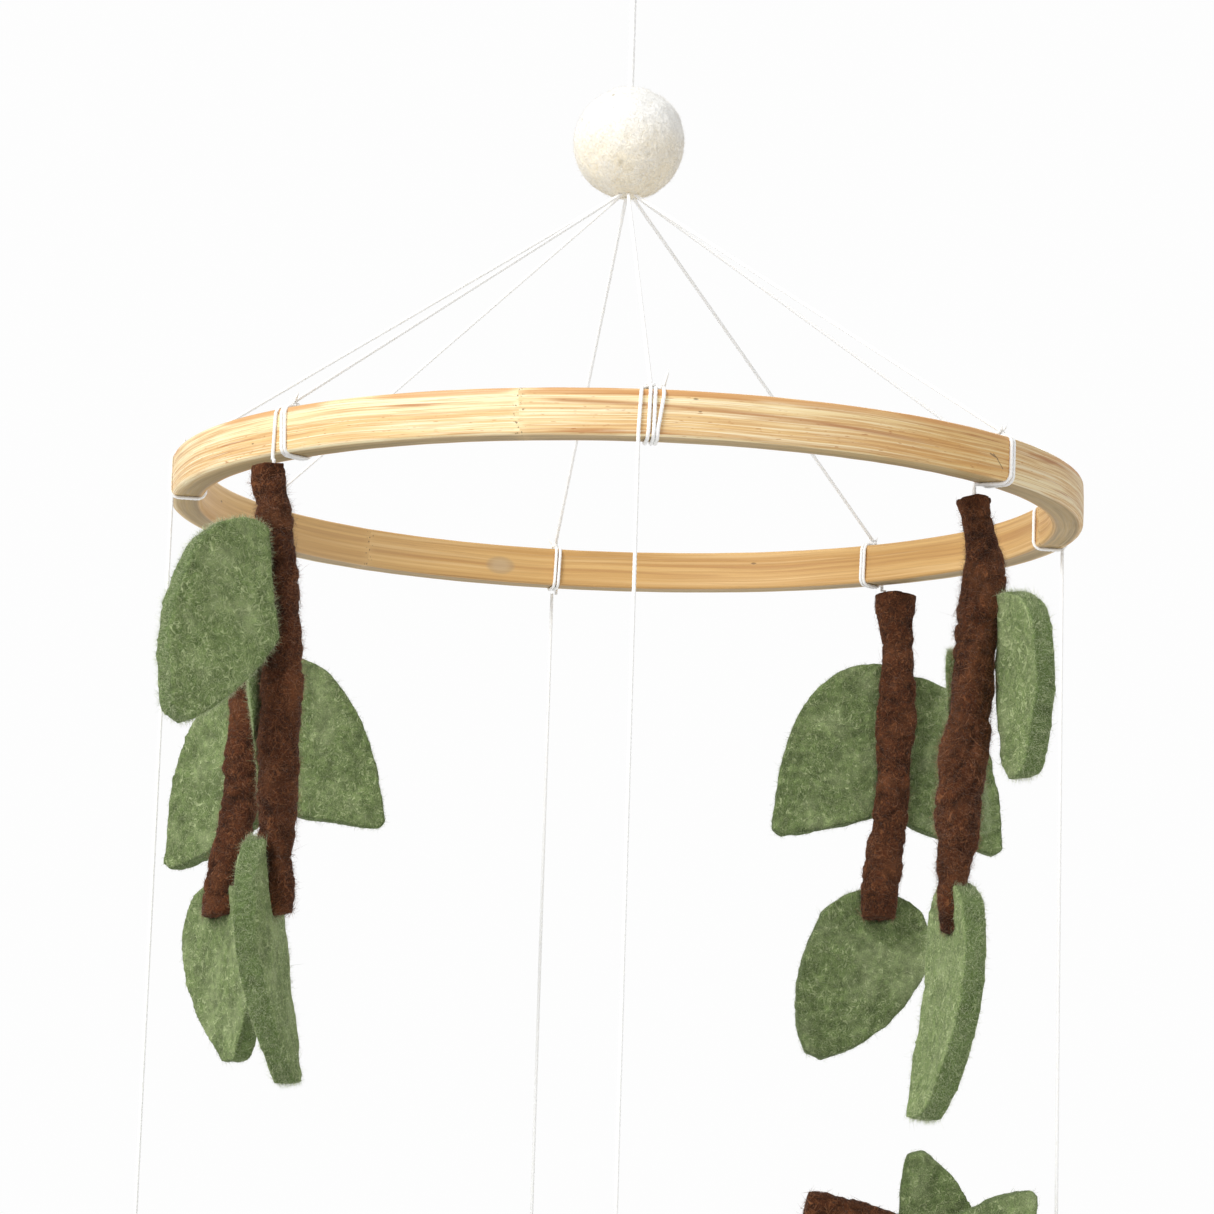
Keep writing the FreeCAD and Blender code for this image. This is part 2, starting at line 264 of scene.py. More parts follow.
def knot_line(centre, size, turn, tilt=0.0):
    """The line of a small overhand knot about a point."""
    t = np.linspace(0, 2 * math.pi, 61)
    x = np.sin(t) + 2 * np.sin(2 * t)
    y = np.cos(t) - 2 * np.cos(2 * t)
    z = -1.15 * np.sin(3 * t)
    line = np.stack([x, y, z], 1) * size / 3
    spin = Matrix.Rotation(turn, 3, "Z") @ Matrix.Rotation(tilt, 3, "X")
    return line @ np.array(spin).T + centre


# ---- materials


class Shader:
    """A node material that is built up a node at a time."""

    def __init__(self, name):
        self.material = bpy.data.materials.new(name)
        self.material.use_nodes = True
        self.tree = self.material.node_tree
        self.surface = self.tree.nodes["Principled BSDF"]

    def add(self, kind, inputs=None, **settings):
        node = self.tree.nodes.new(kind)
        for key, value in settings.items():
            setattr(node, key, value)
        for key, value in (inputs or {}).items():
            self.put(node.inputs[key], value)
        return node

    def put(self, socket, value):
        if isinstance(value, bpy.types.NodeSocket):
            self.tree.links.new(value, socket)
        else:
            socket.default_value = value

    def place(self):
        return self.add("ShaderNodeTexCoord").outputs["Object"]

    def attribute(self, name):
        return self.add("ShaderNodeAttribute", attribute_name=name).outputs["Fac"]

    def math(self, operation, a, b=0.0, clamp=False):
        return self.add("ShaderNodeMath", {0: a, 1: b}, operation=operation, use_clamp=clamp).outputs[0]

    def plus(self, a, b):
        return self.math("ADD", a, b)

    def minus(self, a, b):
        return self.math("SUBTRACT", a, b)

    def times(self, *values):
        product = values[0]
        for value in values[1:]:
            product = self.math("MULTIPLY", product, value)
        return product

    def vector(self, operation, a, b=(0, 0, 0)):
        inputs = {0: a, (3 if operation == "SCALE" else 1): b}
        node = self.add("ShaderNodeVectorMath", inputs, operation=operation)
        return node.outputs["Value" if operation in ("LENGTH", "DOT_PRODUCT") else "Vector"]

    def combined(self, x=0.0, y=0.0, z=0.0):
        return self.add("ShaderNodeCombineXYZ", {0: x, 1: y, 2: z}).outputs[0]

    def stretched(self, coordinates, scale, shift=(0, 0, 0)):
        node = self.add("ShaderNodeMapping", {"Vector": coordinates, "Scale": scale, "Location": shift})
        return node.outputs[0]

    def noise(self, coordinates, scale, detail=2.0, roughness=0.5, distortion=0.0):
        inputs = {"Vector": coordinates, "Scale": scale, "Detail": detail}
        inputs.update({"Roughness": roughness, "Distortion": distortion})
        return self.add("ShaderNodeTexNoise", inputs).outputs["Fac"]

    def remap(self, value, low, high, to_low=0.0, to_high=1.0, smooth=True):
        inputs = {"Value": value, "From Min": low, "From Max": high, "To Min": to_low, "To Max": to_high}
        kind = "SMOOTHSTEP" if smooth else "LINEAR"
        return self.add("ShaderNodeMapRange", inputs, interpolation_type=kind).outputs[0]

    def mix(self, share, a, b, blend="MIX"):
        node = self.add("ShaderNodeMix", data_type="RGBA", blend_type=blend)
        for socket, value in ((0, share), (6, a), (7, b)):
            value = (*value, 1) if isinstance(value, tuple) and len(value) == 3 else value
            self.put(node.inputs[socket], value)
        return node.outputs[2]

    def tinted(self, colour, by):
        return self.mix(1.0, colour, by, "MULTIPLY")

    def layered(self, colour, *layers):
        """A colour under some layers, each a share and a colour."""
        for share, above in layers:
            colour = self.mix(share, colour, above)
        return colour

    def shaded(self, colour, darkest, palest):
        """A colour with painted shade: darker deep in the surface's creases."""
        shade = self.remap(self.attribute("depth"), 0.0, 1.0, darkest, palest, smooth=False)
        grey = self.add("ShaderNodeCombineColor", {0: shade, 1: shade, 2: shade})
        return self.tinted(colour, grey.outputs[0])

    def fibres(self, coordinates, scale, width):
        """Thin crooked lines, as of fibres: 1 on a line and 0 away from it."""
        value = self.noise(coordinates, scale, 1.0, 0.5, 2.5)
        return self.remap(self.math("ABSOLUTE", self.minus(value, 0.5)), 0.0, width, 1.0, 0.0)

    def bump(self, height, distance, strength):
        inputs = {"Height": height, "Distance": distance, "Strength": strength}
        return self.add("ShaderNodeBump", inputs).outputs[0]

    def finish(self, **sockets):
        for key, value in sockets.items():
            socket = self.surface.inputs[key.replace("_", " ").title().replace("Ior", "IOR")]
            value = (*value, 1) if isinstance(value, tuple) and socket.type == "RGBA" else value
            self.put(socket, value)
        return self.material


def felt_material(name, deep, middle, pale, fleck, darkest, patches, sheen, cut=None, rim_share=0.0):
    """Pressed wool: crossing fibres over a mottled ground, and its own colour where a sheet is cut."""
    s = Shader(name)
    at = s.place()
    cloud = s.noise(at, 160.0, 3.0, 0.55)
    tuft = s.noise(at, 620.0, 3.0, 0.6, 0.8)
    patch = s.noise(at, 95.0)
    coarse = s.fibres(s.stretched(at, (1.0, 0.55, 0.8)), 380.0, 0.045)
    medium = s.fibres(s.stretched(at, (0.6, 1.0, 1.0), (0.3, 0.1, 0.7)), 760.0, 0.05)
    fine = s.fibres(s.stretched(at, (1.0, 0.8, 0.5), (0.9, 0.4, 0.2)), 1150.0, 0.06)
    colour = s.layered(
        s.mix(s.remap(cloud, 0.34, 0.66), middle, s.mix(0.5, middle, deep)),
        (s.remap(tuft, 0.36, 0.60, 0.85, 0.0), deep),
        (s.remap(patch, 0.48, 0.70, 0.0, patches), pale),
        (s.times(medium, 0.6), middle),
        (s.times(coarse, 0.75), pale),
        (s.times(fine, 0.55), fleck),
    )
    if cut:
        edge = s.layered(cut, (s.remap(tuft, 0.3, 0.62, 0.8, 0.0), deep), (s.times(fine, 0.35), pale))
        colour = s.mix(s.times(s.attribute("rim"), rim_share), colour, edge)
    height = s.plus(s.plus(s.times(coarse, 0.5), s.times(tuft, 1.1)), s.times(medium, 0.3))
    return s.finish(
        # Painted shade: the colour darker deep in the creases
        base_color=s.shaded(colour, darkest, 1.08),
        roughness=s.remap(tuft, 0.3, 0.7, 0.82, 0.97),
        normal=s.bump(height, 0.0005, 0.8),
        sheen_weight=sheen,
        sheen_roughness=0.55,
        sheen_tint=pale,
        specular_ior_level=0.15,
    )


def fibre_material(name, dark, light):
    """Loose wool fibres, each with its own tone and painted crease shade."""
    s = Shader(name)
    grain = s.noise(s.place(), 900.0)
    # Painted shade: the tone attribute is darker for fibres rooted deep in creases
    tone = s.math("ADD", s.attribute("tone"), s.remap(grain, 0.3, 0.7, -0.15, 0.15), clamp=True)
    return s.finish(
        base_color=s.mix(tone, dark, light),
        roughness=s.remap(grain, 0.3, 0.7, 0.6, 0.8),
        sheen_weight=0.2,
        specular_ior_level=0.2,
    )


def cotton_material(name, light, shade):
    """Twisted cotton: fine filaments in its plies, slightly grey in the grooves."""
    s = Shader(name)
    at = s.place()
    soft = s.noise(at, 700.0, 3.0, 0.6, 0.6)
    fine = s.noise(at, 3600.0, 2.0, 0.6, 1.2)
    colour = s.mix(s.remap(soft, 0.32, 0.68), shade, light)
    colour = s.mix(s.remap(fine, 0.25, 0.6, 0.5, 0.0), colour, shade)
    return s.finish(
        base_color=colour,
        roughness=s.remap(fine, 0.3, 0.7, 0.75, 0.92),
        normal=s.bump(s.plus(soft, s.times(fine, 0.5)), 0.00010, 0.6),
        sheen_weight=0.5,
        sheen_roughness=0.6,
        subsurface_weight=0.7,
        subsurface_radius=(1.0, 1.0, 1.0),
        subsurface_scale=0.0005,
        specular_ior_level=0.2,
    )


def wool_ball_material(name):
    """Needle-felted white wool, creamier low down with painted shade and bounced light, and a few
    straw-coloured bits.
    """
    white, cream, straw = (0.96, 0.95, 0.915), (0.965, 0.87, 0.68), (0.42, 0.35, 0.18)
    s = Shader(name)
    at = s.place()
    up = s.add("ShaderNodeSeparateXYZ", {0: at}).outputs[2]
    # Painted shade and warm bounced light: cream towards the bottom
    low = s.remap(up, BALL_CENTRE[2] - 9 * MM, BALL_CENTRE[2] + 7 * MM, 1.0, 0.0)
    cloud = s.noise(at, 130.0, 3.0, 0.6)
    tuft = s.noise(at, 560.0, 4.0, 0.62, 1.0)
    thread = s.fibres(at, 380.0, 0.05)
    fine = s.fibres(s.stretched(at, (0.7, 1.0, 0.8), (0.2, 0.6, 0.1)), 820.0, 0.06)
    spots = s.add("ShaderNodeTexVoronoi", {"Vector": at, "Scale": 190.0, "Randomness": 1.0})
    chosen = s.remap(s.noise(at, 110.0, 1.0), 0.60, 0.66)
    speck = s.times(s.remap(spots.outputs["Distance"], 0.04, 0.16, 1.0, 0.0), chosen)
    colour = s.mix(s.times(low, s.remap(cloud, 0.3, 0.6, 0.6, 1.0)), white, cream)
    colour = s.layered(
        colour,
        # Painted shade between the tufts
        (s.remap(tuft, 0.26, 0.46, 0.8, 0.0), s.tinted(colour, (0.90, 0.86, 0.76))),
        (s.times(thread, 0.5), (0.96, 0.95, 0.92)),
        (s.times(speck, 0.75), straw),
    )
    return s.finish(
        # Painted shade in the pits and hollows
        base_color=s.shaded(colour, 0.90, 1.03),
        roughness=s.remap(tuft, 0.3, 0.7, 0.85, 0.97),
        normal=s.bump(s.plus(s.times(tuft, 1.2), s.times(fine, 0.35)), 0.0004, 0.7),
        sheen_weight=0.2,
        sheen_roughness=0.5,
        specular_ior_level=0.12,
    )


# The angle where the grain's coordinate wraps round, hidden under a lashing, and each node line's
# angle and slant
SEAM_ANGLE = 50.3
NODE_LINES = ((-12.2, -0.07), (97.0, 0.12), (222.0, -0.08))

# The strip's grains, coarse and fine, that noise makes: scale along the strip, scale across it and
# upwards, shift, detail and roughness
GRAINS = (
    (42.0, 3400.0, 3400.0, (0, 0, 0), 2.0, 0.7),
    (17.0, 1900.0, 1900.0, (5.5, 2.7, 1.4), 2.0, 0.6),
    (7.0, 680.0, 680.0, (3.1, 1.7, 0.4), 2.0, 0.6),
    (5.0, 300.0, 300.0, (1.3, 4.1, 2.2), 2.0, 0.55),
    (6.0, 60.0, 60.0, (7.7, 0.3, 5.1), 1.0, 0.5),
    (30.0, 260.0, 260.0, (2.0, 9.0, 4.0), 2.0, 0.5),
    (420.0, 2600.0, 3200.0, (0.7, 3.3, 8.1), 1.0, 0.5),
)

# Small dark specks: angle, and height and size in millimetres
SPECKS = ((7.2, 3.5, 0.28), (7.7, 0.6, 0.2), (-49.0, -2.0, 0.25), (160.0, 2.0, 0.4), (260.0, 1.0, 0.4))

# The strokes of the short bent crack where the lap joint ends: (angle, height) at each end, and width
CRACK = (
    ((46.1, 0.0), (47.1, -0.5), 0.11),
    ((46.7, 0.1), (47.6, -0.9), 0.08),
    ((47.4, -0.8), (48.6, -2.9), 0.08),
)

# Where the outer face turns browner: from one angle to another, and the tint
BROWNER = ((14.0, 42.0, (0.83, 0.66, 0.42)), (47.0, 72.0, (0.84, 0.80, 0.78)))


def along_strip(angle):
    """The distance along the strip of an angle on the hoop, from the point opposite the seam."""
    return distance_between(angle, SEAM_ANGLE + 180, HOOP_RADIUS)


def strip_marks(s, place, pitted_place, outer, slants):
    """The strip's dark marks: pinholes on its node lines, specks and the crack."""
    pits = s.stretched(pitted_place, (1250.0, 400.0, 1150.0))
    pin = s.add("ShaderNodeTexVoronoi", {"Vector": pits, "Scale": 1.0})
    chosen = s.remap(s.noise(pitted_place, 1500.0, 0.0), 0.40, 0.46)
    pinhole = s.times(s.remap(pin.outputs["Distance"], 0.20, 0.36, 1.0, 0.0), chosen)
    marks = 0.0
    for off in slants:
        marks = s.math("MAXIMUM", marks, s.times(s.remap(off, 0.0007, 0.0018, 1.0, 0.0), pinhole))
    for angle, height, size in SPECKS:
        away = s.vector("SUBTRACT", place, (along_strip(angle), 0.0, height * MM))
        away = s.vector("LENGTH", s.vector("MULTIPLY", away, (0.45, 1.0, 1.3)))
        marks = s.math("MAXIMUM", marks, s.remap(away, size * 0.5 * MM, size * 1.3 * MM, 0.9, 0.0))
    for start, end, width in CRACK:
        a, b = (np.array((along_strip(angle), 0.0, height * MM)) for angle, height in (start, end))
        run = b - a
        reach = s.vector("SUBTRACT", place, tuple(a))
        share = s.vector("DOT_PRODUCT", reach, tuple(run / run.dot(run)))
        share = s.math("MINIMUM", s.math("MAXIMUM", share, 0.0), 1.0)
        gap = s.vector("LENGTH", s.vector("SUBTRACT", reach, s.vector("SCALE", tuple(run), share)))
        stroke = s.remap(gap, width * 0.5 * MM, width * 2.6 * MM, 1.0, 0.0)
        marks = s.math("MAXIMUM", marks, s.times(stroke, outer))
    return marks


def bamboo_material(name):
    """A bent bamboo strip: straight grain that changes at each node line, reddish streaks and pores."""
    s = Shader(name)
    centred = s.vector("SUBTRACT", s.place(), tuple(HOOP_CENTRE))
    x, y, z = s.add("ShaderNodeSeparateXYZ", {0: centred}).outputs
    zero = math.radians(SEAM_ANGLE + 180)
    turned_x = s.plus(s.times(x, math.cos(zero)), s.times(y, math.sin(zero)))
    turned_y = s.minus(s.times(y, math.cos(zero)), s.times(x, math.sin(zero)))
    along = s.times(s.math("ARCTAN2", turned_x, s.times(turned_y, -1.0)), HOOP_RADIUS)
    inward = s.minus(s.vector("LENGTH", s.combined(x, y)), HOOP_MIDDLE)
    flat_place = s.combined(along, 0.0, z)
    deep_place = s.combined(along, inward, z)

    # The grain drifts a little up and down along the strip, and starts afresh past each node line.
    drift = s.noise(s.stretched(deep_place, (16.0, 20.0, 20.0)), 1.0, 1.0)
    lifted = s.plus(z, s.remap(drift, 0.0, 1.0, -0.0012, 0.0012, smooth=False))
    slanted = [(s.minus(along, s.times(z, slant)), along_strip(angle)) for angle, slant in NODE_LINES]
    stretch = 0.0
    for place, line_place in slanted:
        stretch = s.plus(stretch, s.math("GREATER_THAN", place, line_place))
    grain = s.combined(along, s.plus(inward, s.times(stretch, 0.37)), lifted)
    hair, line, thread, band, broad, patch, pore = (
        s.noise(s.stretched(grain, scale, shift), 1.0, detail, roughness)
        for *scale, shift, detail, roughness in GRAINS
    )

    def grained(colour, *layers):
        """A colour under layers of (grain, low, high, share at low, share at high, colour)."""
        return s.layered(colour, *((s.remap(*remap), above) for *remap, above in layers))

    # The outer face
    cream, straw, gold = (0.98, 0.90, 0.64), (0.93, 0.77, 0.44), (0.80, 0.54, 0.24)
    tan, rust, umber = (0.62, 0.36, 0.15), (0.46, 0.19, 0.06), (0.17, 0.10, 0.045)
    skin = grained(
        s.mix(s.remap(band, 0.36, 0.66), straw, gold),
        (thread, 0.30, 0.46, 0.6, 0.0, cream),
        (line, 0.34, 0.46, 0.7, 0.0, cream),
        (thread, 0.55, 0.66, 0.0, 0.5, tan),
        (line, 0.53, 0.60, 0.0, 0.65, tan),
    )
    red_patch = s.times(s.remap(thread, 0.56, 0.62), s.remap(patch, 0.50, 0.60))
    red = s.times(red_patch, s.remap(line, 0.40, 0.55, 0.25, 1.0), 0.85)
    skin = grained(
        s.mix(red, skin, rust),
        (broad, 0.52, 0.72, 0.0, 0.4, gold),
        (hair, 0.52, 0.62, 0.0, 0.6, tan),
        (hair, 0.34, 0.46, 0.5, 0.0, cream),
    )
    for start, end, tint in BROWNER:
        share = s.times(s.remap(along, along_strip(start), along_strip(end)), 0.8)
        skin = s.mix(share, skin, s.tinted(skin, tint))
    dash = s.times(s.remap(pore, 0.66, 0.74), s.remap(band, 0.4, 0.6, 0.3, 1.0), 0.8)
    upper_edge = s.times(s.remap(z, 0.0034, 0.0047), s.remap(patch, 0.42, 0.55), 0.8)
    skin = s.layered(skin, (dash, rust), (upper_edge, (0.62, 0.31, 0.11)))

    # The inner face, and the upper and lower sides
    heart = grained(
        s.mix(s.remap(band, 0.36, 0.64), (0.70, 0.44, 0.17), (0.56, 0.315, 0.105)),
        (thread, 0.50, 0.66, 0.0, 0.55, (0.44, 0.22, 0.075)),
        (line, 0.52, 0.68, 0.0, 0.35, (0.42, 0.22, 0.08)),
        (thread, 0.32, 0.46, 0.4, 0.0, (0.84, 0.60, 0.30)),
        (hair, 0.50, 0.7, 0.0, 0.3, (0.40, 0.22, 0.09)),
        (broad, 0.3, 0.5, 0.3, 0.0, (0.80, 0.57, 0.30)),
    )
    side = grained(
        s.mix(s.remap(band, 0.35, 0.65), (0.50, 0.345, 0.15), (0.33, 0.225, 0.09)),
        (line, 0.48, 0.66, 0.0, 0.55, (0.27, 0.19, 0.085)),
        (thread, 0.30, 0.46, 0.5, 0.0, (0.62, 0.48, 0.25)),
    )
    # Painted shadow: the upper and lower sides darker towards the inner face
    side = s.mix(s.times(s.remap(inward, -0.0012, -0.0034), 0.45), side, (0.25, 0.17, 0.12))
    outer = s.remap(inward, 0.0022, 0.0036)
    inner = s.remap(inward, -0.0036, -0.0024, 1.0, 0.0)
    colour = s.layered(side, (inner, heart), (outer, skin))

    # Paler node lines across the strip, then the dark marks
    slants = [s.math("ABSOLUTE", s.minus(place, line_place)) for place, line_place in slanted]
    node_colour = s.mix(outer, (0.70, 0.47, 0.21), (0.94, 0.76, 0.44))
    for off in slants:
        colour = s.mix(s.remap(off, 0.0, 0.0030, 0.3, 0.0), colour, node_colour)
    marks = strip_marks(s, flat_place, deep_place, outer, slants)
    colour = s.mix(s.times(marks, 0.8), colour, umber)

    # A long dark streak right of the first node line, on the outer face
    streak_z = s.plus(z, s.times(s.minus(along, along_strip(-10.0)), 0.035))
    streak = s.remap(s.math("ABSOLUTE", s.minus(streak_z, 2.6 * MM)), 0.0, 0.8 * MM, 1.0, 0.0)
    begins = s.remap(along, along_strip(-10.5), along_strip(-7.0))
    ends = s.remap(along, along_strip(28.0), along_strip(44.0), 1.0, 0.0)
    streak = s.times(streak, s.times(begins, ends), s.remap(patch, 0.3, 0.5, 0.35, 1.0), outer, 0.85)
    colour = s.mix(streak, colour, (0.46, 0.21, 0.08))

    # An oval knot on the inner face, with a darker ring
    oval = s.vector("SUBTRACT", flat_place, (along_strip(199.5), 0.0, -0.7 * MM))
    oval = s.vector("LENGTH", s.vector("MULTIPLY", oval, (1 / 0.0050, 0.0, 1 / 0.0028)))
    colour = s.layered(
        colour,
        (s.times(s.remap(oval, 0.75, 1.1, 1.0, 0.0), inner, 0.5), (0.40, 0.29, 0.17)),
        (s.times(s.remap(oval, 0.35, 0.85, 1.0, 0.0), inner, 0.45), (0.56, 0.42, 0.26)),
    )

    height = s.minus(s.plus(s.times(hair, 0.7), s.times(line, 0.8)), s.times(marks, 1.6))
    rough = s.remap(hair, 0.3, 0.7, 0.42, 0.6)
    return s.finish(
        base_color=colour,
        roughness=s.minus(rough, s.times(outer, 0.06)),
        normal=s.bump(height, 0.00012, 0.5),
        coat_weight=0.06,
        coat_roughness=0.4,
        specular_ior_level=0.35,
    )


GREEN_FELT = felt_material(
    "green_felt",
    deep=(0.075, 0.118, 0.034),
    middle=(0.185, 0.255, 0.092),
    pale=(0.54, 0.62, 0.33),
    cut=(0.080, 0.132, 0.034),
    fleck=(0.40, 0.48, 0.22),
    rim_share=0.85,
    darkest=0.55,
    patches=0.30,
    sheen=0.22,
)
BROWN_FELT = felt_material(
    "brown_felt",
    deep=(0.024, 0.009, 0.004),
    middle=(0.080, 0.0245, 0.0095),
    pale=(0.25, 0.098, 0.040),
    fleck=(0.18, 0.064, 0.025),
    darkest=0.42,
    patches=0.35,
    sheen=0.05,
)
GREEN_FIBRE = fibre_material("green_fibre", (0.13, 0.20, 0.06), (0.76, 0.82, 0.50))
BROWN_FIBRE = fibre_material("brown_fibre", (0.040, 0.0125, 0.005), (0.44, 0.185, 0.078))
WHITE_FIBRE = fibre_material("white_fibre", (0.86, 0.80, 0.68), (0.95, 0.94, 0.91))
COTTON = cotton_material("cotton_cord", (0.99, 0.985, 0.965), (0.95, 0.93, 0.89))
WOOL = wool_ball_material("white_wool")
BAMBOO = bamboo_material("bamboo")


# ---- camera, light and floor


def add_camera():
    away = np.array((0.0, -math.cos(CAMERA_DROP), -math.sin(CAMERA_DROP)))
    position = HOOP_CENTRE + CAMERA_DISTANCE * away
    level = math.cos(CAMERA_PITCH)
    east, north = math.sin(CAMERA_YAW) * level, math.cos(CAMERA_YAW) * level
    forward = Vector((east, north, math.sin(CAMERA_PITCH)))
    right = forward.cross(Vector((0, 0, 1))).normalized()
    up = right.cross(forward)
    turned_right = right * math.cos(CAMERA_ROLL) + up * math.sin(CAMERA_ROLL)
    turned_up = up * math.cos(CAMERA_ROLL) - right * math.sin(CAMERA_ROLL)
    data = bpy.data.cameras.new("camera")
    data.lens = CAMERA_LENS
    data.sensor_width = 36.0
    data.clip_start = 0.01
    camera = link("camera", data)
    turn = Matrix((turned_right, turned_up, -forward)).transposed()
    camera.matrix_world = Matrix.Translation(Vector(position)) @ turn.to_4x4()
    bpy.context.scene.camera = camera


def add_light(name, place, target, size, power):
    data = bpy.data.lights.new(name, "AREA")
    data.shape = "DISK"
    data.size = size
    data.energy = power
    lamp = link(name, data)
    lamp.location = place
    lamp.rotation_euler = (Vector(target) - Vector(place)).to_track_quat("-Z", "Y").to_euler()


def add_world(seen, cast):
    """A white world, as bright as seen where the camera sees it and as cast for all else."""
    world = bpy.data.worlds.new("studio")
    bpy.context.scene.world = world
    world.use_nodes = True
    tree = world.node_tree
    background = tree.nodes["Background"]
    rays = tree.nodes.new("ShaderNodeLightPath")
    strength = tree.nodes.new("ShaderNodeMapRange")
    strength.inputs["To Min"].default_value = cast
    strength.inputs["To Max"].default_value = seen
    tree.links.new(rays.outputs["Is Camera Ray"], strength.inputs["Value"])
    tree.links.new(strength.outputs[0], background.inputs["Strength"])
    background.inputs["Color"].default_value = (1.0, 1.0, 1.0, 1)


def add_floor():
    """A round pale floor whose rim fades into the backdrop's white."""
    n = FLOOR_SIDES
    turns = np.linspace(0, 2 * math.pi, n, endpoint=False)
    radii = np.linspace(0.0, FLOOR_RADIUS, FLOOR_RINGS)[1:]
    points = [np.array([[0.0, 0.0, FLOOR_Z]])]
    points += [np.stack([r * np.cos(turns), r * np.sin(turns), np.full(n, FLOOR_Z)], 1) for r in radii]
    faces = []
    for start in range(1, 1 + (len(radii) - 1) * n, n):
        for k in range(n):
            a, b = start + k, start + (k + 1) % n
            faces += [(a, a + n, b + n), (a, b + n, b)]
    faces += [(0, 1 + k, 1 + (k + 1) % n) for k in range(n)]
    floor = link("floor", mesh_of("floor", np.concatenate(points), np.array(faces)))
    s = Shader("floor_paper")
    at = s.place()
    tone = s.noise(at, 5.0)
    colour = s.mix(tone, (0.80, 0.80, 0.80), (0.84, 0.84, 0.84))
    s.finish(base_color=colour, roughness=s.remap(tone, 0.3, 0.7, 0.85, 0.95))
    away = s.vector("LENGTH", s.vector("MULTIPLY", at, (1.0, 1.0, 0.0)))
    s.put(s.surface.inputs["Alpha"], s.remap(away, 0.55, 1.45, 1.0, 0.0))
    floor.data.materials.append(s.material)


scene = bpy.context.scene
scene.view_settings.view_transform = "Standard"
scene.view_settings.look = "None"
add_camera()
add_world(seen=0.985, cast=0.60)
add_light("key", (-1.00, -1.00, 0.77), (0.0, 0.0, -0.20), 0.8, 24.5)
add_light("fill", (1.15, -0.8, 0.1), (0.0, 0.0, -0.25), 1.1, 2.0)
add_light("back", (0.3, 1.2, 0.6), (0.0, 0.0, -0.2), 1.0, 6.0)
add_floor()


# ---- cords


def show(piece, material, body, slot, *nodes):
    """Gives a finished piece its material, its body and the CAD nodes that it stands for."""
    piece.data.materials.clear()
    piece.data.materials.append(material)
    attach(piece, body)
    if nodes:
        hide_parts(*nodes)
    return piece


def add_cotton(name, parts, body, *nodes):
    """A piece of cotton cord, made of several (points, faces) pairs."""
    piece = link(name, mesh_of(name, *joined(parts)))
    return show(piece, COTTON, body, "cotton_cord", *nodes)


PITCH = 3.3 * MM
HANGING_PITCH = 5.6 * MM

# Lashings: number -> angle of its first turn, and how far along the hoop from there, in millimetres,
# its knot with the support cord is
LASHING_MIDDLES = {
    1: (315.5, 2.05),
    2: (1.0, 2.5),
    3: (50.0, 0.575),
    4: (98.0, 0.0),
    5: (141.4, 0.0),
    6: (190.5, 0.0),
    7: (281.5, 0.0),
    8: (241.0, 0.55),
}

# A support cord's way out of the ball: distance from the ball's axis and height, in millimetres
WAY_OUT = ((1.75, -94.1), (1.75, -102.5), (1.75, -105.2), (6.7, -108.5))
SUPPORT_END = (116.8 * MM, -182.5 * MM)  # distance from the hoop's axis, and height


def add_support_cord(number):
    angle, offset = LASHING_MIDDLES[number]
    end = on_hoop(further(angle, offset * MM), *SUPPORT_END)
    flat = np.array((end[0], end[1], 0.0))
    flat /= np.linalg.norm(flat)
    route = [flat * r * MM + np.array((0, 0, z * MM)) for r, z in WAY_OUT] + [end]
    line = spline_points(f"support_{number}", route)
    parts = [twisted_cord(line, CORD_RADIUS, PITCH, phase=number * 0.9)]
    piece = add_cotton(f"support_cord_{number}_plied", parts, "hoop_frame", f"support_cord_{number}")


for number in LASHING_MIDDLES:
    add_support_cord(number)


def add_string(pendant):
    """A pendant's string, from its tie under the hoop to the knot inside its twig."""
    angle, radius, length = STRINGS[pendant]
    top = on_hoop(angle, radius * MM, PIVOT_Z)
    bottom = top - np.array((0, 0, length * MM))
    if pendant in SPRIGS:
        below_tie = top - np.array((0, 0, 6 * MM))
        above_twig = bottom + np.array((0, 0, 15 * MM))
        line = spline_points(pendant, [top, below_tie, above_twig, bottom])
    else:
        line = np.stack([top, bottom])
    knot = knot_line(bottom + np.array((0, 0, 0.3 * MM)), 0.32 * MM, 0.4)
    parts = [
        twisted_cord(line, CORD_RADIUS, PITCH, phase=length),
        twisted_cord(knot, 0.28 * MM, 1.2 * MM),
    ]
    piece = add_cotton(pendant + "_string_plied", parts, pendant + "_string", pendant + "_string")


for pendant in BRANCHES + SPRIGS:
    add_string(pendant)


# The hanging cord's way up and round its loop: x and z in millimetres. Then the two turns of its knot:
# height, size, turn and tilt
HANGING_ROUTE = (
    (0.0, -89.0), (0.0, -83.0), (0.0, -40.0), (0.0, -33.6), (3.6, -19.5), (6.9, -8.0), (4.6, -0.9),
    (-4.6, -0.9), (-6.9, -8.0), (-3.6, -19.5), (0.0, -33.0),
)
HANGING_KNOTS = ((-33.8, 1.75, 0.5, 1.3), (-34.3, 1.35, 1.7, 1.5))


def add_hanging_loop():
    """The cord above the ball: up to its knot, round the loop and back to the knot."""
    line = spline_points("hanging", [np.array((x, 0.0, z)) * MM for x, z in HANGING_ROUTE])
    parts = [twisted_cord(line, HANGING_CORD_RADIUS, HANGING_PITCH)]
    piece = add_cotton("hanging_loop_plied", parts, "hanger", "hanging_loop")
    turns = []
    for z, size, turn, tilt in HANGING_KNOTS:
        around = knot_line(np.array((0, 0, z)) * MM, size * MM, turn, tilt)
        turns.append(twisted_cord(around, 0.85 * MM, HANGING_PITCH))
    knot = add_cotton("hanging_loop_knot", turns, "hanger")


add_hanging_loop()


# ---- lashings


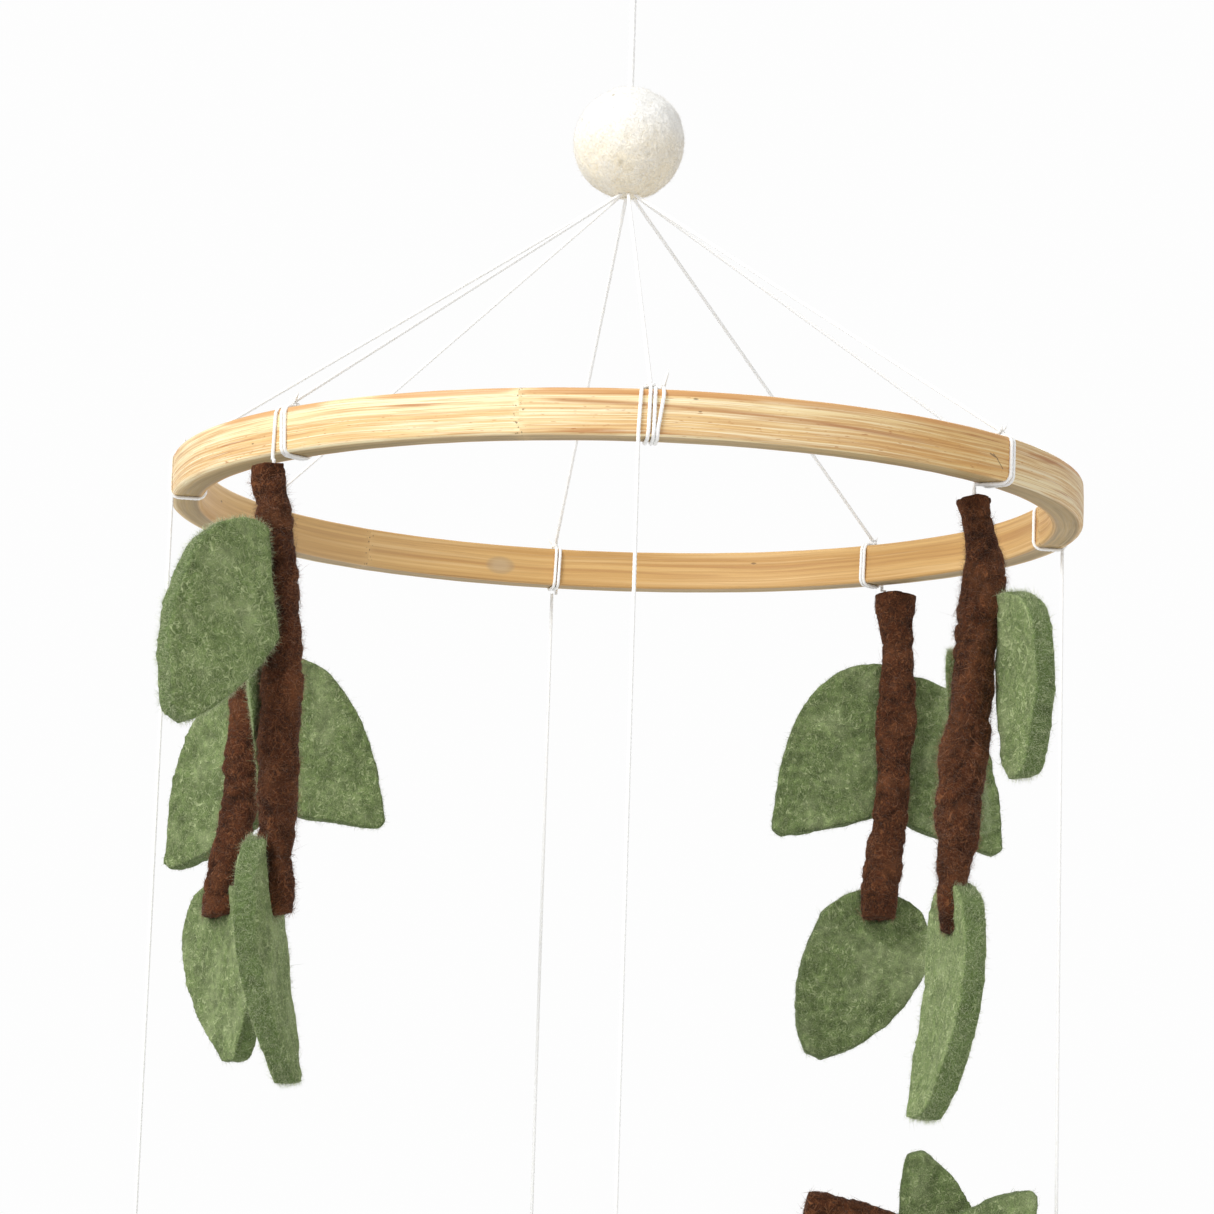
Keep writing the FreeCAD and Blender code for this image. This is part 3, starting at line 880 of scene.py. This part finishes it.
def rounded_section(half, tall, corner, step):
    """The four rounded corners of the hoop's section: outwards of its middle, and up."""
    corners = []
    for cx, cz, first in ((1, 1, 0), (-1, 1, 90), (-1, -1, 180), (1, -1, 270)):
        turns = [math.radians(first + more) for more in range(0, 91, step)]
        out, high = cx * (half - corner), cz * (tall - corner)
        corners.append([(out + corner * math.cos(t), high + corner * math.sin(t)) for t in turns])
    return corners


def section_line(gap):
    """Once round the hoop's section at a distance from it.

    It starts at the foot of the outer face, and goes up it, over the top and down the inner face.
    """
    half, tall, corner = HOOP_DEPTH / 2 + gap, HOOP_HEIGHT / 2 + gap, HOOP_EDGE + gap
    return np.array([(half, -tall + corner)] + sum(rounded_section(half, tall, corner, 15), []))


LASHING_STEP = 0.25 * MM
LASHING_GAP = CORD_RADIUS + 0.04 * MM


def lashing_line(angle, tie_out, tie_shift, offsets):
    """A cord that rises from a pendant's tie, winds round the hoop and ends on its top.

    tie_out is how far outside the strip's middle the string hangs, and tie_shift how far along the
    hoop from the first turn. offsets are where the turns pass the outer face, along the hoop.
    """
    once = section_line(LASHING_GAP)
    steps = np.linalg.norm(np.diff(once, axis=0), axis=1)
    along = np.concatenate(([0], np.cumsum(steps)))
    around = along[-1]

    def out_at(u):
        return np.interp(u % around, along, once[:, 0])

    def high_at(u):
        return np.interp(u % around, along, once[:, 1])

    # A string that hangs under the strip starts its cord on the section's underside.
    start = 0.0
    if tie_out < HOOP_DEPTH / 2 + LASHING_GAP * 0.8:
        trial = np.linspace(-0.3 * around, 0, 400)
        low = [u for u in trial if high_at(u) < -HOOP_HEIGHT / 2 and out_at(u) >= tie_out]
        start = low[0] if low else 0.0
    straight_up = HOOP_HEIGHT - 2 * HOOP_EDGE
    finish = (len(offsets) - 1) * around + straight_up + 4.6 * MM
    u = np.linspace(start, finish, int((finish - start) / LASHING_STEP))
    knots_u, knots_o = [start], [tie_shift if start < 0 else offsets[0][0]]
    for turn, (low_offset, high_offset) in enumerate(offsets):
        knots_u += [turn * around + 0.01 * MM, turn * around + straight_up]
        knots_o += [low_offset, high_offset]
    off = np.interp(u, knots_u + [finish], np.array(knots_o + [offsets[-1][1]]) * MM)
    rows = [(out_at(a), high_at(a), b) for a, b in zip(u, off)]
    drop = PIVOT_Z - HOOP_CENTRE[2]
    first = [(tie_out, drop - 0.2 * MM, off[0]), (tie_out, drop + 0.5 * MM, off[0])]
    if start >= 0:
        first.append((tie_out, rows[0][1] - 1.2 * MM, off[0]))
    points = [
        on_hoop(further(angle, offset), HOOP_MIDDLE + out, HOOP_CENTRE[2] + high)
        for out, high, offset in first + rows
    ]
    return softened(np.array(points), LASHING_STEP, 2)


def softened(line, step, rounds):
    """A line at even steps, with its corners smoothed in some rounds."""
    line, _ = evenly(line, step)
    for _ in range(rounds):
        line[1:-1] = 0.25 * line[:-2] + 0.5 * line[1:-1] + 0.25 * line[2:]
    return line


# Number -> pendant, and each turn's place along the hoop in millimetres at the foot and at the top of
# the outer face
WINDINGS = {
    1: ("branch_1", ((-0.5, -0.2), (2.3, 1.9), (3.4, 3.0))),
    2: ("sprig_1", ((0.0, 0.35), (2.2, 2.4), (3.4, 3.5), (4.3, 5.4))),
    3: ("branch_4", ((-0.1, 0.1), (1.0, 1.2))),
    4: ("sprig_2", ((0.0, 0.2), (1.1, 1.2))),
    5: ("branch_3", ((-1.2, -1.0), (0.0, 0.0), (1.1, 1.2))),
    6: ("sprig_3", ((-1.2, -1.1), (0.0, 0.1), (1.2, 1.3))),
    7: ("sprig_4", ((0.0, 0.2), (1.1, 1.2))),
    8: ("branch_2", ((0.0, 0.1), (1.1, 1.2))),
}


# The knot's two cut ends: how far each reaches along the hoop, up and outwards, in millimetres. One
# lashing's ends are longer and leave from its last turn.
TAILS = ((1.0, 2.6, 1.4), (-0.4, 1.9, 2.2))
LONG_TAILS = ((0.5, 4.6, 0.9), (-0.4, 1.4, 2.0))
LONG_TAILED_LASHING = 2
TAIL_STEP = 0.3 * MM


def add_lashing(number):
    pendant, offsets = WINDINGS[number]
    angle, middle = LASHING_MIDDLES[number]
    tie_angle, tie_radius, _ = STRINGS[pendant]
    shift = distance_between(tie_angle, angle, HOOP_MIDDLE) / MM
    line = lashing_line(angle, tie_radius * MM - HOOP_MIDDLE, shift, offsets)
    parts = [twisted_cord(line, CORD_RADIUS * 0.97, PITCH, phase=number)]

    # The knot on top, where the support cord comes down, and the bar from the first turn to the last
    top = HOOP_CENTRE[2] + HOOP_HEIGHT / 2
    turn = further(angle, middle * MM)
    knot = on_hoop(turn, HOOP_MIDDLE + 0.8 * MM, top + 1.25 * MM)
    parts.append(twisted_cord(knot_line(knot, 1.0 * MM, number * 1.3, 0.5), 0.42 * MM, 2.6 * MM))
    ends = (further(angle, offsets[0][1] * MM), further(angle, offsets[-1][1] * MM))
    first, last = (on_hoop(end, HOOP_MIDDLE + 1.2 * MM, top + 0.6 * MM) for end in ends)
    bar = np.array([first, knot + np.array((0, 0, 0.15 * MM)), last])
    parts.append(twisted_cord(softened(bar, TAIL_STEP, 3), 0.46 * MM, 2.8 * MM))

    tangent = np.array((math.cos(math.radians(turn)), math.sin(math.radians(turn)), 0.0))
    outwards = np.array((math.sin(math.radians(turn)), -math.cos(math.radians(turn)), 0.0))
    long_tailed = number == LONG_TAILED_LASHING
    begin = last if long_tailed else knot
    for side, rise, out in LONG_TAILS if long_tailed else TAILS:
        lift = np.array((0, 0, rise))
        middle_point = begin + (tangent * side + outwards * out * 0.4 + lift * 0.5) * MM
        tip = begin + (tangent * side * 2.2 + outwards * out * 0.5 + lift) * MM
        tail = softened(np.array([begin, middle_point, tip]), TAIL_STEP, 3)
        parts.append(twisted_cord(tail, 0.44 * MM, 2.6 * MM, taper=1.2 * MM))
    add_cotton(f"lashing_{number}_wound", parts, "hoop_frame", f"lashing_{number}")


for number in WINDINGS:
    add_lashing(number)


# ---- hoop


STRIP_EDGE = 0.7 * MM
STRIP_RINGS = 900
LAP_LENGTH = 26  # degrees that the lap joint's step takes to fade

# The strip's small waves outwards and upwards: size, how many go round the hoop, and shift
STRIP_WAVES = ((0.10, 3, 0.4), (0.07, 7, 1.0), (0.04, 16, 0.0))
STRIP_RISES = ((0.08, 4, 2.0), (0.04, 11, 0.0))


def strip_section():
    """The worn strip's section: its rounded corners, and points along the sides between them."""
    corners = rounded_section(HOOP_DEPTH / 2, HOOP_HEIGHT / 2, STRIP_EDGE, 18)
    section = []
    for corner, following in zip(corners, corners[1:] + corners[:1]):
        a, b = np.array(corner[-1]), np.array(following[0])
        section += corner + [tuple(a + (b - a) * share) for share in (0.14, 0.32, 0.5, 0.68, 0.86)]
    return np.array(section)


def add_hoop():
    """The bamboo strip, with small waves, worn edges, raised node lines and its lap joint's step."""
    base_outs, highs = strip_section().T
    half, tall = HOOP_DEPTH / 2, HOOP_HEIGHT / 2
    outer, inner = base_outs > half * 0.8, base_outs < -half * 0.8
    bulge = 0.16 * MM * (1 - (highs / tall) ** 2)
    points = []
    for angle in np.linspace(0, 360, STRIP_RINGS, endpoint=False):
        turn = math.radians(angle)
        wave = sum(size * math.sin(times * turn + shift) for size, times, shift in STRIP_WAVES)
        rise = sum(size * math.sin(times * turn + shift) for size, times, shift in STRIP_RISES)
        outs = base_outs + bulge * outer + bulge * 0.6 * inner
        for line_angle, _ in NODE_LINES:
            gap = distance_between(angle, line_angle, HOOP_RADIUS)
            outs = outs + 0.10 * MM * math.exp(-((gap / (1.1 * MM)) ** 2)) * outer
        lap = math.remainder(angle - SEAM_ANGLE, 360)
        if 0 < lap < LAP_LENGTH:
            outs = outs - 0.16 * MM * (1 - lap / LAP_LENGTH) * (highs < 1.4 * MM) * outer
        radii = HOOP_MIDDLE + outs + wave * MM * 0.3
        x = HOOP_CENTRE[0] + radii * math.sin(turn)
        y = HOOP_CENTRE[1] - radii * math.cos(turn)
        points.append(np.stack([x, y, HOOP_CENTRE[2] + highs + rise * MM * 0.3], 1))
    around = len(highs)
    points = np.concatenate(points)
    points += 0.05 * MM * lumps(points, 7 * MM, 3)[:, None] * np.array((0.6, 0.6, 1.0))
    i = np.arange(STRIP_RINGS)[:, None]
    k = np.arange(around)[None, :]
    ni, nk = (i + 1) % STRIP_RINGS, (k + 1) % around
    row, next_row = i * around, ni * around
    faces = np.stack([row + k, next_row + k, next_row + nk, row + nk], -1).reshape(-1, 4)
    piece = link("bamboo_hoop_strip", mesh_of("bamboo_hoop_strip", points, faces))
    show(piece, BAMBOO, "hoop_frame", "bamboo", "bamboo_hoop")


add_hoop()


# ---- felt


def remeshed(node, name, voxel, rounds):
    """A copy of a CAD node as an even mesh with softened edges."""
    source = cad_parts[node]
    piece = link(name, source.data.copy())
    weld = piece.modifiers.new("weld", "WELD")
    weld.merge_threshold = 1e-6
    remesh = piece.modifiers.new("remesh", "REMESH")
    remesh.mode = "VOXEL"
    remesh.voxel_size = voxel
    soften = piece.modifiers.new("soften", "SMOOTH")
    soften.factor = 0.5
    soften.iterations = rounds
    bpy.context.view_layer.update()
    evaluated = piece.evaluated_get(bpy.context.evaluated_depsgraph_get())
    mesh = bpy.data.meshes.new_from_object(evaluated)
    piece.modifiers.clear()
    piece.data = mesh
    mesh.name = name
    mesh.shade_smooth()
    return piece


# How deep a fibre's root lies, and the shares by which it narrows and bends along its way
ROOT_DEPTH = 0.12 * MM
NARROWING = 0.45
BEND_SHARE = 0.6


def unit(vectors, least=0.0):
    return vectors / (np.linalg.norm(vectors, axis=1)[:, None] + least)


def needles(mesh, seed, per_mm2, lengths, radius, lift, curl, keep, depth=None, segments=2):
    """Points, triangles and tones of fine tapered fibres that grow from a mesh's surface.

    lengths and radius are in millimetres. lift is how steeply they stand, from 0, lying down, to 1.
    keep is a weight at each point of the mesh, or None. depth is how far out of its creases each
    point is, from 0 to 1.
    """
    rng = np.random.default_rng(seed)
    points, normals, triangles = points_of(mesh), normals_of(mesh), triangles_of(mesh)
    a, b, c = (points[triangles[:, i]] for i in range(3))
    weights = 0.5 * np.linalg.norm(np.cross(b - a, c - a), axis=1)
    if keep is not None:
        weights *= keep[triangles].mean(1)
    count = int(weights.sum() / MM**2 * per_mm2)
    chosen = rng.choice(len(triangles), count, p=weights / weights.sum())
    u, v = rng.random(count), rng.random(count)
    flip = u + v > 1
    u[flip], v[flip] = 1 - u[flip], 1 - v[flip]
    shares = (1 - u - v, u, v)
    corners = triangles[chosen].T
    root = sum(share[:, None] * points[corner] for share, corner in zip(shares, corners))
    normal = unit(sum(share[:, None] * normals[corner] for share, corner in zip(shares, corners)))
    loose = rng.normal(size=(count, 3))
    flat = unit(loose - normal * (loose * normal).sum(1)[:, None], 1e-9)
    rise = np.clip(lift + rng.normal(0, 0.03 + 0.2 * lift, count), 0.02, 1)[:, None]
    direction = unit(normal * rise + flat * (1 - rise))
    sideways_bend = np.cross(normal, flat) * rng.normal(0, curl, count)[:, None]
    bend = sideways_bend - normal * (rng.random(count) * curl)[:, None] * 0.7
    length = rng.uniform(lengths[0] * MM, lengths[1] * MM, count)[:, None]
    thick = radius * MM * rng.uniform(0.7, 1.3, count)[:, None]
    side = unit(np.cross(direction, normal + loose * 0.01), 1e-9)
    up = np.cross(direction, side)
    rings = []
    for share in np.linspace(0, 1, segments + 1)[:-1]:
        reach = direction * share + bend * share * share * BEND_SHARE
        centre = root - normal * ROOT_DEPTH + length * reach
        size = thick * (1 - NARROWING * share)
        for turn in (0, 2 * math.pi / 3, 4 * math.pi / 3):
            rings.append(centre + size * (side * math.cos(turn) + up * math.sin(turn)))
    rings.append(root - normal * ROOT_DEPTH + length * (direction + bend * BEND_SHARE))
    per = len(rings)
    pattern = [(0, 2, 1)]
    for ring in range(segments - 1):
        for k in range(3):
            p, q = ring * 3 + k, ring * 3 + (k + 1) % 3
            pattern += [(p, q, q + 3), (p, q + 3, p + 3)]
    last = (segments - 1) * 3
    pattern += [(last + k, last + (k + 1) % 3, per - 1) for k in range(3)]
    base = (np.arange(count) * per)[:, None, None]
    faces = (base + np.array(pattern)[None, :, :]).reshape(-1, 3)
    tone = rng.beta(1.2, 1.9, count) + 0.22 * lumps(root, 8 * MM, seed)
    # Painted shade: fibres darker where they grow from deep in the creases
    if depth is not None:
        tone *= 0.25 + 0.95 * depth[triangles].mean(1)[chosen]
    return np.stack(rings, 1).reshape(-1, 3), faces, np.repeat(np.clip(tone, 0, 1), per)


def add_fibres(name, mesh, kinds, seed, material, body, slot):
    """One piece with several kinds of fibres, each what needles takes after its seed."""
    sets = [needles(mesh, seed + i, *kind) for i, kind in enumerate(kinds)]
    fibres = mesh_of(name, *joined([(points, faces) for points, faces, _ in sets]))
    store(fibres, "tone", np.concatenate([tones for _, _, tones in sets]))
    show(link(name, fibres), material, body, slot)


def axes_of(points):
    """The middle of some points, and their longest, second and thinnest direction."""
    middle = points.mean(0)
    _, _, rows = np.linalg.svd(points - middle, full_matrices=False)
    return middle, rows


def push(mesh, amounts):
    mesh.vertices.foreach_set("co", (points_of(mesh) + amounts).astype(np.float32).ravel())
    mesh.update()


# How finely a leaf and a twig are made, for the branches (True) and for the sprigs below the view:
# voxel in millimetres, rounds of smoothing, and the number and the thickness of its fibres as shares
LEAF_GRADES = {True: (0.62, 5, 1.0, 1.0), False: (0.85, 3, 0.35, 1.3)}
TWIG_GRADES = {True: (0.60, 4, 1.0, 1.0), False: (0.85, 4, 0.40, 1.3)}

# Each leaf's flat width and length, in millimetres, less what its twig hides
BRANCH_LEAF_SIZES = {
    "branch_1": {"left_leaf": (29, 52), "right_leaf": (36, 52), "end_leaf": (32, 58)},
    "branch_2": {"left_leaf": (38, 53), "right_leaf": (40, 55), "end_leaf": (34, 51)},
    "branch_3": {"left_leaf": (41, 54), "right_leaf": (38, 53), "end_leaf": (34, 52)},
    "branch_4": {"left_leaf": (34, 49), "right_leaf": (33, 44), "end_leaf": (31, 56)},
}
SPRIG_LEAF_SIZES = {"upper_leaf": (22, 47), "middle_leaf": (30, 46), "end_leaf": (36, 54)}

# How far some leaves bend along their length and across it, in millimetres, and which share of the
# first bend their middle takes while the ends stay put. The other leaves take USUAL_BEND.
LEAF_BENDS = {
    "branch_1_end_leaf": (1.8, -1.5, 1.0),
    "branch_4_end_leaf": (2.6, 0.0, 0.8),
    "branch_4_right_leaf": (1.0, 1.0, 0.0),
}
USUAL_BEND = (0.8, 0.5, 0.0)

# Pendants whose leaves are a little darker or lighter than the rest
# The shift is partly the felt's own tone and partly painted light and shade on each pendant
LEAF_TONES_AND_SHADE = {"branch_1": 0.20, "branch_2": -0.08, "branch_3": -0.32, "branch_4": 0.24, "sprig_2": -0.12}


def lump_layers(points, seed, *layers):
    """Smooth noise at each point, for each layer's size in millimetres and seed."""
    return [lumps(points, size * MM, seed + more) for size, more in layers]


def add_leaf(pendant, part, seed):
    """A leaf cut from thick felt, in a soft random shape, with its fibres."""
    node = f"{pendant}_{part}"
    voxel, rounds, few, thick = LEAF_GRADES[pendant in BRANCHES]
    bow, cup, held = LEAF_BENDS.get(node, USUAL_BEND)
    piece = remeshed(node, f"{node}_felt", voxel * MM, rounds)
    mesh = piece.data
    points, normals = points_of(mesh), normals_of(mesh)
    middle, (long_way, wide_way, thin_way) = axes_of(points)
    if thin_way[1] > 0:
        thin_way = -thin_way
    along, wide = (points - middle) @ long_way, (points - middle) @ wide_way
    rim = 1 - smooth_step(np.abs(normals @ thin_way), 0.35, 0.8)
    slow, mid, fast, wavy_edge = lump_layers(points, seed, (16, 0), (5.0, 20), (1.9, 40), (6.0, 60))
    bend = bow * ((2 * along / np.ptp(along)) ** 2 - held) + cup * (2 * wide / np.ptp(wide)) ** 2
    puff = 0.26 * mid + 0.20 * fast + 0.55 * rim * wavy_edge - 0.05
    push(mesh, thin_way * ((0.9 * slow + bend) * MM)[:, None] + normals * (puff * MM)[:, None])
    store(mesh, "rim", rim)
    # Painted shade: darker in the hollows between the lumps, shifted for each pendant
    depth = np.clip(0.66 + LEAF_TONES_AND_SHADE.get(pendant, 0.0) + 0.6 * fast + 0.4 * mid, 0, 1)
    store(mesh, "depth", depth)
    show(piece, GREEN_FELT, pendant, "green_felt", node)

    # Fibres that lie on the faces, short ones that stand on them, and a fringe on the cut rim
    face = 1.05 - rim
    kinds = [
        (1.9 * few, (1.2, 3.2), 0.034 * thick, 0.05, 0.7, face, depth),
        (0.6 * few, (0.4, 1.1), 0.030 * thick, 0.5, 1.1, None, depth * (1 - 0.6 * rim)),
        (2.2 * few, (0.5, 1.5), 0.024 * thick, 0.5, 1.3, rim, 1.1 * rim),
    ]
    if pendant in NEAR_BRANCHES:
        kinds.append((5.5, (0.8, 2.3), 0.021, 0.8, 1.1, rim, 1.9 * rim))
        kinds.append((0.7, (0.7, 1.9), 0.018, 0.7, 1.1, face, 1.6 * depth))
    add_fibres(f"{node}_fibres", mesh, kinds, seed, GREEN_FIBRE, pendant, "green_felt")


def add_twig(pendant, seed):
    """A twig rolled from brown wool: uneven lumps, creases and loose wrapped fibres."""
    node = pendant + "_twig"
    voxel, rounds, few, thick = TWIG_GRADES[pendant in BRANCHES]
    piece = remeshed(node, node + "_felt", voxel * MM, rounds)
    mesh = piece.data
    points, normals = points_of(mesh), normals_of(mesh)
    middle, (long_way, *_) = axes_of(points)
    along = (points - middle) @ long_way
    wander, mid, fast, finest = lump_layers(points, seed, (10, 0), (4.6, 20), (1.7, 40), (0.9, 50))
    swirl = points + long_way * (3.0 * MM) * wander[:, None]
    crease_width = 0.13
    off_crease = np.abs(lumps(swirl * np.array((1, 1, 1.7)), 9 * MM, seed + 80))
    crease = np.maximum(0, crease_width - off_crease) / crease_width
    from_end = np.ptp(along) / 2 - np.abs(along)
    body = smooth_step(from_end, 0.0, 7 * MM)
    lump = 1.0 * wander + 0.62 * mid + 0.26 * fast + 0.12 * finest - 0.6 * crease
    sideways = smooth_step(1 - np.abs(normals @ long_way), 0.2, 0.7)
    rounding = -0.3 * (1 - smooth_step(from_end, -0.5 * MM, 2.5 * MM)) * sideways
    if pendant in NEAR_BRANCHES:
        lower = points[:, 2] < middle[2]
        rounding += 0.9 * lower * (1 - smooth_step(from_end, 1 * MM, 9 * MM)) * sideways
    push(mesh, normals * ((lump * (0.25 + 0.75 * body) + rounding) * MM)[:, None])
    # Painted shade: darker in the creases and the hollows between lumps
    depth = np.clip(0.80 + 0.5 * mid + 0.45 * fast + 0.3 * wander - 0.5 * crease, 0, 1)
    store(mesh, "depth", depth)
    show(piece, BROWN_FELT, pendant, "brown_felt", node)

    # Wrapped fibres, short ones and a few long crooked ones, none beside a branch's lashing
    keep = None
    if pendant in BRANCHES:
        keep = smooth_step(points[:, 2].max() - points[:, 2], 2.2 * MM, 4.6 * MM)
    kinds = [
        (2.4 * few, (1.4, 3.4), 0.045 * thick, 0.07, 1.2, keep, depth),
        (1.0 * few, (0.4, 1.0), 0.030 * thick, 0.45, 1.2, keep, depth),
        (0.14 * few, (1.6, 3.2), 0.028 * thick, 0.35, 1.8, keep, depth, 4),
    ]
    if pendant in NEAR_BRANCHES:
        kinds.append((2.1, (0.8, 2.5), 0.020, 0.75, 1.2, keep, 1.6 * depth))
    add_fibres(f"{node}_fibres", mesh, kinds, seed, BROWN_FIBRE, pendant, "brown_felt")


def add_ball():
    """The wool ball, with the wool closed in round the cords at its mouth."""
    piece = remeshed("felt_ball", "felt_ball_wool", 0.5 * MM, 3)
    mesh = piece.data
    points = points_of(mesh)
    away = points - BALL_CENTRE
    reach = np.linalg.norm(away, axis=1)
    across = np.linalg.norm(away[:, :2], axis=1)
    mouth = (away[:, 2] < -9.8 * MM) & (across > 2.4 * MM) & (across < 7.4 * MM) & (reach > 10.5 * MM)
    closed = (0.5 + (across / MM - 2.4) * (7.4 - 0.5) / (7.4 - 2.4)) * MM
    target = away * (closed / np.maximum(across, MM))[:, None]
    target[:, 2] = -np.sqrt(BALL_RADIUS**2 - np.minimum(closed, 0.6 * BALL_RADIUS) ** 2)
    push(mesh, np.where(mouth[:, None], target - away, 0.0))
    points, normals = points_of(mesh), normals_of(mesh)
    outside = smooth_step(np.linalg.norm(points - BALL_CENTRE, axis=1), 12.5 * MM, 14.2 * MM)
    near_axis = smooth_step(np.linalg.norm(points[:, :2], axis=1), 1.4 * MM, 3.4 * MM)
    slow, mid, fast = lump_layers(points, 5, (12, 0), (3.4, 1), (1.3, 2))
    pits = np.maximum(0, lumps(points, 2.4 * MM, 9) - 0.50)
    raise_by = (0.40 * slow + 0.20 * mid + 0.10 * fast - 1.6 * pits) * MM * outside * near_axis
    push(mesh, normals * raise_by[:, None])
    # Painted shade: darker in the pits and hollows
    store(mesh, "depth", np.clip(0.8 + 0.25 * mid + 0.25 * fast - 1.6 * pits, 0, 1))
    show(piece, WOOL, "hoop_frame", "white_felt", "felt_ball")
    keep = outside * smooth_step(np.linalg.norm(points[:, :2], axis=1), 3.0 * MM, 4.6 * MM)
    kinds = [(1.6, (1.2, 3.0), 0.032, 0.10, 0.8, keep), (0.9, (0.5, 1.4), 0.026, 0.60, 0.8, keep)]
    add_fibres("felt_ball_fibres", mesh, kinds, 11, WHITE_FIBRE, "hoop_frame", "white_felt")


add_ball()
for i, pendant in enumerate(BRANCHES):
    add_twig(pendant, 3 + i)
    for j, (part, size) in enumerate(BRANCH_LEAF_SIZES[pendant].items()):
        add_leaf(pendant, part, 10 * i + 3 * j + 1)
for i, pendant in enumerate(SPRIGS):
    add_twig(pendant, 13 + i)
    for j, (part, size) in enumerate(SPRIG_LEAF_SIZES.items()):
        add_leaf(pendant, part, 50 + 10 * i + 3 * j)

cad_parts["core_knot"].data.materials.clear()
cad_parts["core_knot"].data.materials.append(COTTON)
